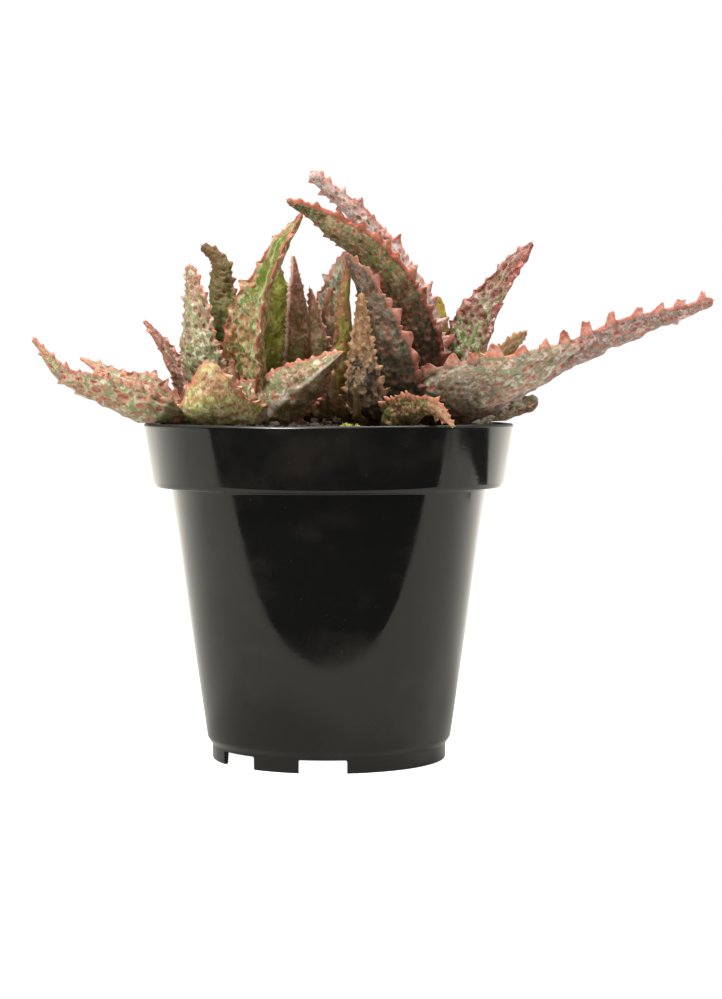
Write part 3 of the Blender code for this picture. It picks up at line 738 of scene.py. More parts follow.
def tooth_row(run, length, wide, worn, scale, chance):
    """How far the teeth of one margin stand out at each station; some are blunt and fused."""
    pitch, height = worn["tooth"]
    wild = worn["uneven"]
    out = np.zeros_like(run)
    place = chance.uniform(1.0, 1.0 + pitch)
    while place < length - 0.6:
        share = place / length
        width = np.interp(place, run, wide)
        size = height * scale * min(1.0, 0.4 + width / 10) * (1.05 - 0.25 * share)
        size *= chance.uniform(1.0 - 0.65 * wild, 1.05 + 0.1 * wild)
        back = (0.5 * size + 0.7) * worn["stout"] * chance.uniform(0.85, 1.3)
        ahead = (0.34 * size + 0.45) * worn["stout"] * chance.uniform(0.85, 1.2)
        blunt = worn["flat"] * chance.uniform(1.0 - wild, 1.0)
        x = np.abs((run - place) / np.where(run < place, back, ahead) / (1 + 0.5 * blunt))
        shape = np.clip((1 - x) / (1 - 0.6 * blunt), 0, 1) ** chance.uniform(0.7, 1.25)
        shape = shape * (1 + 0.14 * blunt * np.sin(4 * x + chance.uniform(0, 6)))
        out = np.maximum(out, size * shape)
        if chance.random() < 0.5 * wild:
            x = (run - place - chance.uniform(0.35, 0.65) * pitch) / chance.uniform(0.45, 0.9)
            out = np.maximum(out, chance.uniform(0.2, 0.55) * size * np.clip(1 - np.abs(x), 0, 1))
        gap = pitch * chance.uniform(1.0 - 0.35 * wild, 1.0 + 0.35 * wild)
        place += gap * (0.85 + 0.3 * min(1.0, width / 9))
    return out


def add_warts(points, normals, tangents, arc, edge, run, wart, inner, bare_from, chance):
    """Raises uneven domes over the leaf; returns their lift and how near each point is to a top."""
    pitch, long, broad, height = wart
    near = np.zeros(points.shape[:2])
    lift = np.zeros(points.shape[:2])
    stations = len(points)
    step = run[1] - run[0]
    row = 0
    place = chance.uniform(0.3, pitch)
    while place < run[-1] - 0.8:
        i = int(place / step)
        across = (row % 2) * pitch * 0.5 + chance.uniform(-0.2, 0.2) * pitch
        while across < arc[i, -1]:
            k = int(np.argmin(np.abs(arc[i] - across)))
            m = min(max(i + int(chance.uniform(-0.45, 0.45) * pitch / step), 0), stations - 1)
            room = edge[m, k]
            across += pitch * chance.uniform(0.6, 1.4)
            if room < 0.6 or chance.random() < 0.1 or (inner[k] and place > bare_from * run[-1]):
                continue
            size = chance.uniform(0.45, 1.3) * min(1.0, 0.5 + room / 4) * (1.05 - 0.3 * place / run[-1])
            a = max(0.34, long * size * chance.uniform(0.8, 1.2) / 2)
            b = max(0.3, broad * size * chance.uniform(0.8, 1.2) / 2)
            reach = int(2 * a / step) + 2
            low, high = max(0, m - reach), min(stations, m + reach + 1)
            gap = points[low:high] - points[m, k]
            forward = gap @ tangents[m]
            side = np.sqrt(np.maximum(0, (gap**2).sum(axis=-1) - forward**2))
            faces = (normals[low:high] @ normals[m, k]) > 0.2
            d = np.sqrt(((forward - 0.25 * a) / a) ** 2 + (side / b) ** 2)
            dome = np.where(faces, np.clip(1 - d * d, 0, 1) ** 1.1, 0)
            lift[low:high] = np.maximum(lift[low:high], height * (0.4 + 0.6 * size) * dome)
            near[low:high] = np.maximum(near[low:high], np.where(faces, np.clip(1 - d / 1.7, 0, 1), 0))
        place += pitch * chance.uniform(0.7, 1.05) * 0.86
        row += 1
    return lift, near


def leaf_faces(stations, around):
    """Four-sided faces between the stations, and a fan of three-sided ones at each end."""
    index = np.arange(stations * around).reshape(stations, around)
    after = np.roll(index, -1, axis=1)
    faces = np.stack([index[:-1], after[:-1], after[1:], index[1:]], axis=-1).reshape(-1, 4).tolist()
    foot, point = stations * around, stations * around + 1
    faces += [(int(after[0, k]), int(index[0, k]), foot) for k in range(around)]
    faces += [(int(index[-1, k]), int(after[-1, k]), point) for k in range(around)]
    return faces


def leaf_surface(name, leaf, worn, settings, seed):
    """Points, faces and attributes of a fine leaf: rounded underside, hollow face, teeth, warts."""
    crown = name.split("_")[0]
    route, width, thickness, face, blunt, _ = leaf
    chance = random.Random(seed)
    spacing = settings.spacing / MM * (HIDDEN_SPACING if crown in HIDDEN_CROWNS else 1.0)
    _, length = evenly(route, 3)
    stations = int(length / spacing) + 1
    spine, _ = evenly(route, stations)
    share = np.linspace(0, 1, stations)
    run = share * length
    tangents = unit(np.gradient(spine, axis=0))
    facing = np.array(face, dtype=float)
    facing = facing + share[:, None] * np.array(worn["turn"])
    normal = unit(facing - tangents * (tangents * facing).sum(axis=1)[:, None])
    across = np.cross(tangents, normal)
    sway = np.stack([run, np.full(stations, 3.1 * seed), np.zeros(stations)], axis=1)
    bend = np.minimum(1, run / 12)[:, None]
    spine = spine + bend * (0.55 * across * drift(sway, 9.0, seed)[:, None])
    spine = spine + bend * (0.45 * normal * drift(sway, 11.0, seed + 7)[:, None])
    full = swell(share, max(min(0.9, BASE_WIDTH / width), worn["foot"]), blunt, worn["taper"])
    full = full * (1 - worn["waist"] * np.clip(1 - share / 0.5, 0, 1))
    end_round = max(0.5, 0.5 * width * blunt)
    cap = np.sqrt(np.clip(1 - (1 - (length - run) / end_round).clip(0) ** 2, 0.02, 1))
    wide = np.maximum(1.0, width * full) * (1 + 0.07 * drift(sway, 4.0, seed + 3)) * cap
    deep = np.maximum(0.9, thickness * swell(share, 0.6, max(blunt, 0.2), worn["taper"])) * cap
    channel = worn["channel"] * deep * np.clip(np.sin(np.pi * np.minimum(1, share * 1.2)), 0, 1)

    # Places round the section, closer together near the margins.
    under = max(12, int(1.25 * (width / 2 + thickness) / spacing))
    over = max(8, int(0.95 * width / spacing))
    t = np.linspace(0, 1, under + 1)
    low = np.pi * (t - 0.45 * np.sin(2 * np.pi * t) / (2 * np.pi))
    t = np.linspace(0, 1, over + 1)[1:-1]
    high = np.pi * (t - 0.1 * np.sin(2 * np.pi * t) / (2 * np.pi))
    u = np.concatenate([-np.cos(low), np.cos(high)]) * (wide / 2)[:, None]
    v = np.concatenate([
        -deep[:, None] * np.sin(low).clip(0) ** worn["keel"],
        -channel[:, None] * np.sin(high),
    ], axis=1)
    inner = np.concatenate([np.zeros(under + 1), np.ones(over - 1)])
    steps = np.hypot(np.diff(u, axis=1), np.diff(v, axis=1))
    arc = np.concatenate([np.zeros((stations, 1)), np.cumsum(steps, axis=1)], axis=1)
    whole = arc[:, -1:] + np.hypot(u[:, :1] - u[:, -1:], v[:, :1] - v[:, -1:])
    left_edge = np.minimum(arc, whole - arc)
    right_edge = np.abs(arc - arc[:, under][:, None])
    edge = np.minimum(left_edge, right_edge)

    points = spine[:, None] + across[:, None] * u[..., None] + normal[:, None] * v[..., None]
    normals = leaf_normals(points)
    fade = np.minimum(1, wide / 6)[:, None]
    bumpy = 0.40 * drift(points, 5.0, seed) + 0.24 * drift(points, 2.2, seed + 50)
    points = points + normals * (worn["lumps"] * bumpy * fade)[..., None]
    *sizes, rise = worn["wart"]
    lift, near = add_warts(
        points, normals, tangents, arc, edge, run, (*sizes, rise * settings.warts),
        inner, worn["bare_from"], chance,
    )
    points = points + normals * (lift * (0.4 + 0.6 * fade))[..., None]

    # The margin is a thick rim, and its teeth are drawn out of it.
    reach = np.minimum(1.5, 0.3 * deep + 0.35)[:, None]
    uneven = 1 + 0.3 * drift(points, 1.3, seed + 80)
    toothy = np.zeros(edge.shape)
    height = worn["tooth"][1]
    for side, distance, strength in ((-1, left_edge, worn["sides"][0]), (1, right_edge, worn["sides"][1])):
        row = tooth_row(run, length, wide, worn, settings.teeth * strength, chance)[:, None]
        hold = np.clip(1 - (distance / reach) ** 1.5, 0, 1) * uneven
        rim = 0.3 * worn["band"] * np.clip(1 - (distance / 1.3) ** 2, 0, 1)
        out = side * across + 0.5 * normal * drift(sway, 3.0, seed + 9 + side)[:, None] + 0.15 * normal
        points = points + out[:, None] * (hold * row + rim * fade)[..., None]
        points = points + tangents[:, None] * (0.35 * hold * row)[..., None]
        toothy = np.maximum(toothy, hold * row / max(height, 0.6))

    if crown in CROWNS:
        points = seat(points, crown, max(2, int(5 / spacing)))
    end = spine[-1] + tangents[-1] * (0.15 if blunt > 0.3 else 0.8)
    everything = np.vstack([points.reshape(-1, 3), points[0].mean(axis=0), end])

    # What the skin reads: form is wart, margin, tooth and inner face; tone is blush, painted shade, dryness
    # and the pale midrib with the painted keel highlight; way is the place along and across the leaf, its
    # number and its fresh green.
    low, high = worn["blush"]
    # Painted shade: darker towards the foot, and by shadow on the left half as well.
    shade = worn["foot_shade"] * np.clip(1 - share / 0.55, 0, 1)
    drying = np.zeros_like(run)
    if worn["dry"]:
        drying = np.clip((run - length + worn["dry"]) / max(worn["dry"], 0.1), 0, 1)
    place = u / (wide[:, None] / 2)
    flank = worn["flank"] * (1 - inner) * np.ones(edge.shape)
    shaded = np.maximum(shade[:, None], worn["shadow"] * np.clip(-place / 0.2, 0, 1))
    dried = np.maximum(drying[:, None], worn["gilt"] * np.clip(1.2 - left_edge / 1.2, 0, 1))
    fresh = inner * np.clip((share - worn["bare_from"]) / 0.15, 0, 1)[:, None]
    fresh = fresh * np.clip(edge / 2 - 0.3, 0, 1)
    # The pale midrib of the inner face, and the painted highlight along the keel of the underside.
    rib_and_keel_highlight = np.exp(-((place / 0.14) ** 2)) * np.where(inner > 0.5, worn["midrib"], worn["streak"])
    spread = np.ones(edge.shape)
    form = (near, np.clip(1 - edge / 1.6, 0, 1) * worn["band"], np.clip(toothy, 0, 1), inner * spread)
    tone = ((low + (high - low) * share)[:, None] + flank, shaded, dried, rib_and_keel_highlight)
    way = (run[:, None] * MM * spread, arc * MM, seed * 0.01 * spread, fresh)
    attributes = {}
    for label, parts in (("form", form), ("tone", tone), ("way", way)):
        values = np.stack(parts, axis=-1).reshape(-1, 4)
        attributes[label] = np.vstack([values, values[0], values[-1]])
    return everything, leaf_faces(stations, under + over), attributes


def leaf_skin(name, tints):
    """Waxy succulent skin: soft sheen, blotched flesh under a pale bloom, coral margins and warts."""
    flesh, pale, deep, green, blush, wart, band, point = [linear(tint) for tint in tints]
    made, tree, shader, place = start_material(name)
    form, tone, way = [
        add_node(tree, "Attribute", attribute_name=label) for label in ("form", "tone", "way")
    ]
    near, edge, tooth = add_node(tree, "SeparateColor", {0: form.outputs["Color"]}).outputs[:3]
    blushing, shade, drying = add_node(tree, "SeparateColor", {0: tone.outputs["Color"]}).outputs[:3]
    rib_and_keel_highlight, fresh = tone.outputs["Alpha"], way.outputs["Alpha"]

    # Patches of 8 mm, blotches of 3 mm, mottle of 1.3 mm, grain of 0.5 mm, and streaks that run
    # along the leaf, 9 mm long and 1.2 mm wide.
    stretched = add_node(tree, "Mapping", {"Vector": way.outputs["Vector"], "Scale": (0.13, 1.0, 0.1)})
    patches, blotches, mottles, grain, streak = [
        add_node(tree, "TexNoise", {
            "Vector": vector, "Scale": 1 / (size * MM), "Detail": detail,
            "Roughness": 0.6, "Distortion": 0.6,
        })
        for size, detail, vector in (
            (8.0, 2.0, place), (3.0, 3.0, place), (1.3, 2.0, place), (0.5, 1.0, place),
            (1.2, 2.0, stretched.outputs[0]),
        )
    ]
    patch, grain, streak = patches.outputs[0], grain.outputs[0], streak.outputs[0]
    blotch, stain, cloud = add_node(tree, "SeparateColor", {0: blotches.outputs["Color"]}).outputs[:3]
    mottle, fleck, dapple = add_node(tree, "SeparateColor", {0: mottles.outputs["Color"]}).outputs[:3]

    mossy = add_node(tree, "Mix", {0: 0.25, 6: green, 7: flesh}, data_type="RGBA").outputs[2]
    paler = add_node(tree, "ValToRGB", {0: dapple}, stops=((0.42, grey(0.0)), (0.62, grey(0.7))))
    banded = add_node(tree, "Mix", {0: paler.outputs[0], 6: band, 7: pale}, data_type="RGBA").outputs[2]

    # Layers of colour, each over the ones before: what it follows, what breaks it up, how much and
    # from where, the two ends of its ramp, how much it covers there, and its colour.
    layers = (
        (patch, blotch, 0.9, -0.45, 0.40, 0.60, 0.9, mossy),
        (blotch, blushing, -1.8, -0.45, 0.0, 0.7, 0.8, green),
        (stain, dapple, 0.8, -0.4, 0.48, 0.64, 0.8, pale),
        (cloud, streak, 0.7, -0.35, 0.50, 0.68, 0.75, deep),
        (blushing, blotch, 2.6, -1.3, 0.25, 0.95, 0.85, blush),
        (fresh, blotch, 0.5, -0.25, 0.1, 0.9, 0.85, green),
        # Painted shade at the foot and on the left half, in the deeper flesh colour.
        (shade, None, 0.0, 0.0, 0.0, 1.0, 0.85, deep),
        (fleck, blushing, 0.06, 0.0, 0.56, 0.66, 0.6, wart),
        # The pale midrib, and the painted highlight along the keel.
        (rib_and_keel_highlight, mottle, 0.4, -0.2, 0.15, 0.8, 0.9, pale),
        (edge, stain, 1.2, -0.6, 0.1, 0.8, 0.6, blush),
        (near, mottle, 0.6, -0.3, 0.05, 0.3, 0.25, pale),
        (near, mottle, 1.1, -0.55, 0.15, 0.7, 0.85, wart),
        # Painted highlight: the tops of the warts are paler.
        (near, dapple, 1.4, -0.7, 0.75, 1.2, 0.45, pale),
        (edge, cloud, 1.6, -0.8, 0.35, 0.9, 0.85, band),
        (tooth, None, 0.0, 0.0, 0.08, 0.4, 1.0, banded),
        (tooth, fleck, 1.0, -0.5, 0.5, 1.0, 1.0, point),
        (drying, blotch, 0.8, -0.4, 0.25, 0.6, 0.8, linear("#94704c")),
        # The painted shade once more, now over the warts, margins and teeth too.
        (shade, None, 0.0, 0.0, 0.0, 1.0, 0.6, deep),
    )
    colour = flesh
    for value, breaks, amount, shift, low, high, most, tint in layers:
        if breaks is not None:
            broken = add_node(tree, "Math", {0: breaks, 1: amount, 2: shift}, operation="MULTIPLY_ADD")
            value = add_node(tree, "Math", {0: value, 1: broken.outputs[0]}, operation="ADD").outputs[0]
        share = add_node(tree, "ValToRGB", {0: value}, stops=((low, grey(0.0)), (high, grey(most))))
        layer = add_node(tree, "Mix", {0: share.outputs[0], 6: colour, 7: tint}, data_type="RGBA")
        colour = layer.outputs[2]

    rough = add_node(tree, "MapRange", {0: mottle, 1: 0.3, 2: 0.7, 3: 0.42, 4: 0.68})
    relief = add_node(tree, "Math", {0: streak, 1: 0.9, 2: grain}, operation="MULTIPLY_ADD")
    relief = add_node(tree, "Math", {0: mottle, 1: 2.4, 2: relief.outputs[0]}, operation="MULTIPLY_ADD")
    bump = add_node(tree, "Bump", {"Strength": 0.8, "Distance": 0.16 * MM, "Height": relief.outputs[0]})
    feed(tree, shader, {
        "Base Color": colour, "Roughness": rough.outputs[0], "Normal": bump.outputs[0],
        "Subsurface Weight": 0.06, "Subsurface Radius": (1.0, 0.5, 0.25), "Subsurface Scale": 1.2 * MM,
        "IOR": 1.4, "Specular Tint": (1.0, 0.93, 0.8, 1.0),
    })
    return made


def leaf_piece(name, surface):
    """A smooth leaf object with the attributes that its skin reads, four numbers a point in each."""
    points, faces, attributes = surface
    made = mesh_object(name, points, faces)
    for label, values in attributes.items():
        layer = made.data.color_attributes.new(label, "FLOAT_COLOR", "POINT")
        layer.data.foreach_set("color", np.ascontiguousarray(values, dtype=np.float32).ravel())
    return made


def joined(surfaces):
    """Several leaf surfaces as one."""
    points, faces, attributes = [], [], {"form": [], "tone": [], "way": []}
    for more, sides, values in surfaces:
        start = sum(len(p) for p in points)
        points.append(more)
        faces += [tuple(start + k for k in side) for side in sides]
        for label in attributes:
            attributes[label].append(values[label])
    return np.vstack(points), faces, {label: np.vstack(parts) for label, parts in attributes.items()}


class ALOE_OT_leaves(bpy.types.Operator):
    """Makes every leaf with its teeth and warts, in place of the plain ones"""
    bl_idname = "aloe.leaves"
    bl_label = "Leaves"

    def execute(self, context):
        settings = context.scene.aloe_leaf
        skins = {key: leaf_skin(f"waxy_{key}_leaf_skin", tints) for key, tints in SKINS.items()}
        for number, (name, leaf) in enumerate(LEAVES.items()):
            worn = {**PLAIN_DRESS, **DRESSES[leaf[-1]]}
            made = leaf_piece(name + "_fine", leaf_surface(name, leaf, worn, settings, number + 1))
            dress(made, skins[leaf[-1]], worn["slot"], name)
        return {"FINISHED"}


class ALOE_OT_leaf_bases(bpy.types.Operator):
    """Makes the short withered leaf bases and the small young leaves round each stem"""
    bl_idname = "aloe.leaf_bases"
    bl_label = "Leaf bases"

    def execute(self, context):
        settings = context.scene.aloe_leaf
        worn = {**PLAIN_DRESS, **DRESSES["withered"]}
        young = {**PLAIN_DRESS, **DRESSES["young"]}
        chance = random.Random(77)
        for crown, (x, y, radius, top) in CROWNS.items():
            surfaces = []
            for k in range(BASES_ROUND_STEM):
                turn = 2 * math.pi * (k + chance.uniform(-0.3, 0.3)) / BASES_ROUND_STEM
                reach = chance.uniform(4.5, 10.0)
                rise = chance.uniform(2.0, 9.0)
                room = RIM_RADIUS - 5 - math.hypot(x + reach * math.cos(turn), y + reach * math.sin(turn))
                reach += min(0.0, room - 2)
                out = Vector((math.cos(turn), math.sin(turn), 0))
                start = Vector((x, y, BASES_FOOT)) + out * (radius * 0.6)
                twist = Vector((-out.y, out.x, 0)) * chance.uniform(-2.5, 2.5)
                route = [
                    tuple(start),
                    tuple(start + out * reach * 0.45 + Vector((0, 0, rise * 0.35))),
                    tuple(start + out * reach * 0.85 + Vector((0, 0, rise * 0.8)) + twist * 0.5),
                    tuple(start + out * reach + Vector((0, 0, rise)) + twist),
                ]
                width, thickness = chance.uniform(3.5, 6.5), chance.uniform(1.4, 2.4)
                leaf = (route, width, thickness, (-out.x, -out.y, 1.2), 0.15, "")
                surfaces.append(leaf_surface("base", leaf, worn, settings, 300 + 17 * k + len(crown)))
            made = leaf_piece(f"{crown}_leaf_bases", joined(surfaces))
            dress(made, bpy.data.materials["waxy_withered_leaf_skin"], "leaf_dry")
            if crown == "front":
                continue
            surfaces = []
            for k in range(YOUNG_ROUND_STEM):
                turn = 2 * math.pi * (k + chance.uniform(-0.3, 0.3)) / YOUNG_ROUND_STEM
                out = Vector((math.cos(turn), math.sin(turn), 0))
                reach, rise = chance.uniform(2.0, 6.0), chance.uniform(9.0, 17.0)
                start = Vector((x, y, top - 7.0)) + out * radius * 0.5
                route = [
                    tuple(start),
                    tuple(start + out * reach * 0.6 + Vector((0, 0, rise * 0.45))),
                    tuple(start + out * reach + Vector((0, 0, rise))),
                ]
                leaf = (route, chance.uniform(4.0, 6.0), 2.8, (-out.x, -out.y, 0.3), 0.12, "")
                surfaces.append(leaf_surface("young", leaf, young, settings, 500 + 13 * k + len(crown)))
            made = leaf_piece(f"{crown}_young_leaves", joined(surfaces))
            dress(made, bpy.data.materials["waxy_russet_leaf_skin"], "leaf_blushed")
        return {"FINISHED"}


# The pot.

def turned(name, profile, sides):
    """Draws a profile with extruded points and spins it about the pot's axis."""
    select_only()
    bpy.ops.mesh.primitive_plane_add(size=MM, location=(0, 0, 0))
    piece = bpy.context.object
    piece.name = piece.data.name = name
    bpy.ops.object.mode_set(mode="EDIT")
    bpy.ops.mesh.merge(type="CENTER")
    radius, height = profile[0]
    bpy.ops.transform.translate(value=(radius * MM, 0, height * MM))
    for (r0, z0), (r1, z1) in zip(profile, profile[1:]):
        bpy.ops.mesh.extrude_vertices_move(
            TRANSFORM_OT_translate={"value": ((r1 - r0) * MM, 0, (z1 - z0) * MM)},
        )
    bpy.ops.mesh.select_all(action="SELECT")
    bpy.ops.mesh.spin(steps=sides, angle=2 * math.pi, center=(0, 0, 0), axis=(0, 0, 1))
    bpy.ops.mesh.select_all(action="SELECT")
    bpy.ops.mesh.remove_doubles(threshold=0.01 * MM)
    bpy.ops.mesh.normals_make_consistent(inside=False)
    bpy.ops.object.mode_set(mode="OBJECT")
    return piece


def rounded(profile, radius, steps=3):
    """The profile with each corner that turns sharply replaced by a short arc."""
    made = [profile[0]]
    for a, b, c in zip(profile, profile[1:], profile[2:]):
        a, b, c = Vector(a), Vector(b), Vector(c)
        into, out = (b - a), (c - b)
        if into.angle(out, 0) < math.radians(12):
            made.append(tuple(b))
            continue
        size = min(radius, into.length * 0.3, out.length * 0.3)
        start, end = b - into.normalized() * size, b + out.normalized() * size
        made.append(tuple(b - into.normalized() * size * 1.5))
        for k in range(steps + 1):
            t = k / steps
            made.append(tuple(start.lerp(b, t).lerp(b.lerp(end, t), t)))
        made.append(tuple(b + out.normalized() * size * 1.5))
    made.append(profile[-1])
    return made


def inner_wall(z):
    """The radius of the pot's inside at a height in its body."""
    share = (z - BODY_FOOT) / (BAND_FOOT - BODY_FOOT)
    return BODY_FOOT_RADIUS - WALL + share * (BODY_TOP_RADIUS - BODY_FOOT_RADIUS)


def cut_block(piece, size, radius, height, angle):
    """Cuts a block out of the pot, its length along the radius at an angle."""
    select_only()
    turn = math.radians(angle)
    place = (radius * math.cos(turn) * MM, radius * math.sin(turn) * MM, height * MM)
    bpy.ops.mesh.primitive_cube_add(size=1, location=place, rotation=(0, 0, turn))
    cutter = bpy.context.object
    cutter.scale = Vector(size) * MM
    bpy.ops.object.transform_apply(location=True, rotation=True, scale=True)
    bpy.ops.object.mode_set(mode="EDIT")
    bpy.ops.mesh.select_all(action="SELECT")
    bpy.ops.mesh.bevel(offset=CUT_BEVEL * MM, segments=2, affect="EDGES")
    bpy.ops.object.mode_set(mode="OBJECT")
    modifier = piece.modifiers.new("cut", "BOOLEAN")
    modifier.operation = "DIFFERENCE"
    modifier.solver = "EXACT"
    modifier.object = cutter
    select_only(piece)
    bpy.ops.object.modifier_apply(modifier=modifier.name)
    bpy.data.objects.remove(cutter)


def pot_plastic(colour):
    """Glossy injection-moulded polypropylene: near black, mirror-like, faintly rippled."""
    made, tree, shader, place = start_material("glossy_black_polypropylene")
    # Ripple of 12 mm from the mould's draw, orange peel of 1 mm, a dull film in patches of 22 mm,
    # and specks of dust about 0.4 mm across and 3 mm apart. The lip is matt with wear.
    ripple = add_node(tree, "TexNoise", {"Vector": place, "Scale": 80.0, "Detail": 2.0})
    peel = add_node(tree, "TexNoise", {"Vector": place, "Scale": 1000.0, "Detail": 1.0})
    smear = add_node(tree, "TexNoise", {"Vector": place, "Scale": 45.0, "Detail": 4.0, "Roughness": 0.65})
    dust = add_node(tree, "TexVoronoi", {"Vector": place, "Scale": 330.0, "Randomness": 1.0})
    height = add_node(
        tree, "Math", {0: ripple.outputs[0], 1: 6.0, 2: peel.outputs[0]}, operation="MULTIPLY_ADD",
    )
    bump = add_node(tree, "Bump", {"Strength": 0.25, "Distance": 0.02 * MM, "Height": height.outputs[0]})
    specks = add_node(
        tree, "ValToRGB", {0: dust.outputs["Distance"]}, stops=((0.03, grey(1.0)), (0.07, grey(0.0))),
    )
    film = add_node(tree, "MapRange", {0: smear.outputs[0], 1: 0.5, 2: 0.7, 3: 0.0, 4: 0.6})
    dull = add_node(
        tree, "Mix", {0: film.outputs[0], 6: tuple(colour), 7: linear("#1f1b16")}, data_type="RGBA",
    )
    base = add_node(
        tree, "Mix", {0: specks.outputs[0], 6: dull.outputs[2], 7: linear("#2c2a28")}, data_type="RGBA",
    )
    gloss = add_node(tree, "MapRange", {0: smear.outputs[0], 1: 0.35, 2: 0.75, 3: 0.05, 4: 0.17})
    level = add_node(tree, "SeparateXYZ", {0: place})
    worn_lip = {0: level.outputs[2], 1: LIP_FOOT * MM, 2: LIP_TOP * MM, 3: 0.0, 4: 0.4}
    lip = add_node(tree, "MapRange", worn_lip)
    gloss = add_node(tree, "Math", {0: gloss.outputs[0], 1: lip.outputs[0]}, operation="ADD")
    feed(tree, shader, {
        "Base Color": base.outputs[2], "Roughness": gloss.outputs[0], "Normal": bump.outputs[0],
        "IOR": 1.49,
    })
    return made


class ALOE_OT_pot(bpy.types.Operator):
    """Makes the moulded pot with its lip, band, ledge, foot ring, notches and drain holes"""
    bl_idname = "aloe.pot"
    bl_label = "Pot"

    def execute(self, context):
        settings = context.scene.aloe_pot
        flare = BODY_TOP_RADIUS - BODY_FOOT_RADIUS
        body = [
            (BODY_FOOT_RADIUS + share * flare, BODY_FOOT + share * (BAND_FOOT - 7.6))
            for share in np.linspace(0, 1, 12)
        ]
        band = [
            (RIM_RADIUS - 2.6 + share * 2.6, BAND_FOOT + 0.1 + share * 17.2)
            for share in np.linspace(0, 1, 6)
        ]
        # From the middle of the underside, up the outside, over the lip and down the inside.
        profile = [
            (0, 0),
            (CENTRE_PAD_RADIUS, 0),
            (CENTRE_PAD_RADIUS + 1, FLOOR_UNDERSIDE),
            (FOOT_RADIUS - WALL - 0.3, FLOOR_UNDERSIDE),
            (FOOT_RADIUS - WALL, 0),
            (FOOT_RADIUS, 0),
            (FOOT_RADIUS + 0.1, FOOT_HEIGHT),
            *body,
            (RIM_RADIUS - 3.2, BAND_FOOT - 0.9),
            *band,
            (RIM_RADIUS - 0.4, POT_HEIGHT),
            (RIM_RADIUS - 1.3, POT_HEIGHT),
            (RIM_RADIUS - 1.8, POT_HEIGHT - 0.8),
            (RIM_RADIUS - 4.5, BAND_FOOT + 0.8),
            (BODY_TOP_RADIUS - WALL, BAND_FOOT - 0.2),
            (inner_wall(INNER_FOOT), INNER_FOOT),
            (FOOT_RADIUS - 1, FLOOR_TOP),
            (0, FLOOR_TOP),
        ]
        pot = turned("pot_shell", rounded(profile, CORNER_RADIUS), settings.sides)

        # The thin lip waves a little, and the mould's seam stands out of the band.
        points = points_of(pot)
        angle = np.arctan2(points[:, 1], points[:, 0])
        high = np.clip((points[:, 2] - BAND_FOOT) / BAND_HEIGHT, 0, 1)
        wave = np.sin(3 * angle + 0.6) + 0.6 * np.sin(7 * angle + 2.0) + 0.3 * np.sin(13 * angle)
        points[:, 2] += -settings.lip_wave / MM * (1 + wave) * 0.4 * high**4
        from_seam = (angle - math.atan2(SEAM_PLACE[1], SEAM_PLACE[0])) * RIM_RADIUS
        seam = np.exp(-((from_seam / SEAM_WIDTH) ** 2))
        outside = np.hypot(points[:, 0], points[:, 1]) > inner_wall(points[:, 2]) + 0.7
        points[:, :2] *= (1 + (SEAM_HEIGHT * seam * outside * (high > 0) / RIM_RADIUS))[:, None]
        move_points(pot, points)
        for turn in NOTCH_ANGLES:
            cut_block(pot, NOTCH_SIZE, FOOT_RADIUS, 0, turn)
            cut_block(pot, DRAIN_SIZE, DRAIN_RADIUS, DRAIN_HEIGHT, turn)
        select_only(pot)
        bpy.ops.object.shade_smooth_by_angle(angle=math.radians(SMOOTH_ANGLE))
        dress(pot, pot_plastic(settings.colour), "pot_plastic", "pot")
        return {"FINISHED"}


# The soil, its crumbs and the moss.

def potting_mix(colour):
    """Coarse damp peat and bark: matt, dark, with pale fibres and bits of grit."""
    made, tree, shader, place = start_material("damp_potting_mix")
    # Clods of 4 mm, crumbs of 1.2 mm, and grit of 0.8 mm.
    clod = add_node(tree, "TexNoise", {"Vector": place, "Scale": 250.0, "Detail": 5.0, "Roughness": 0.7})
    crumb = add_node(tree, "TexVoronoi", {"Vector": place, "Scale": 830.0, "Randomness": 1.0})
    grit = add_node(tree, "TexVoronoi", {"Vector": place, "Scale": 400.0, "Randomness": 1.0})
    tint = add_node(tree, "ValToRGB", {0: clod.outputs[0]}, stops=(
        (0.3, linear("#150f08")), (0.5, tuple(colour)), (0.7, linear("#57452e")),
    ))
    flecks = add_node(
        tree, "ValToRGB", {0: grit.outputs["Distance"]}, stops=((0.08, grey(1.0)), (0.16, grey(0.0))),
    )
    base = add_node(
        tree, "Mix", {0: flecks.outputs[0], 6: tint.outputs[0], 7: linear("#a08c68")}, data_type="RGBA",
    )
    height = add_node(tree, "Math", {0: crumb.outputs["Distance"], 1: clod.outputs[0]}, operation="ADD")
    bump = add_node(tree, "Bump", {"Strength": 0.9, "Distance": 0.8 * MM, "Height": height.outputs[0]})
    feed(tree, shader, {"Base Color": base.outputs[2], "Normal": bump.outputs[0], "Roughness": 0.92})
    return made


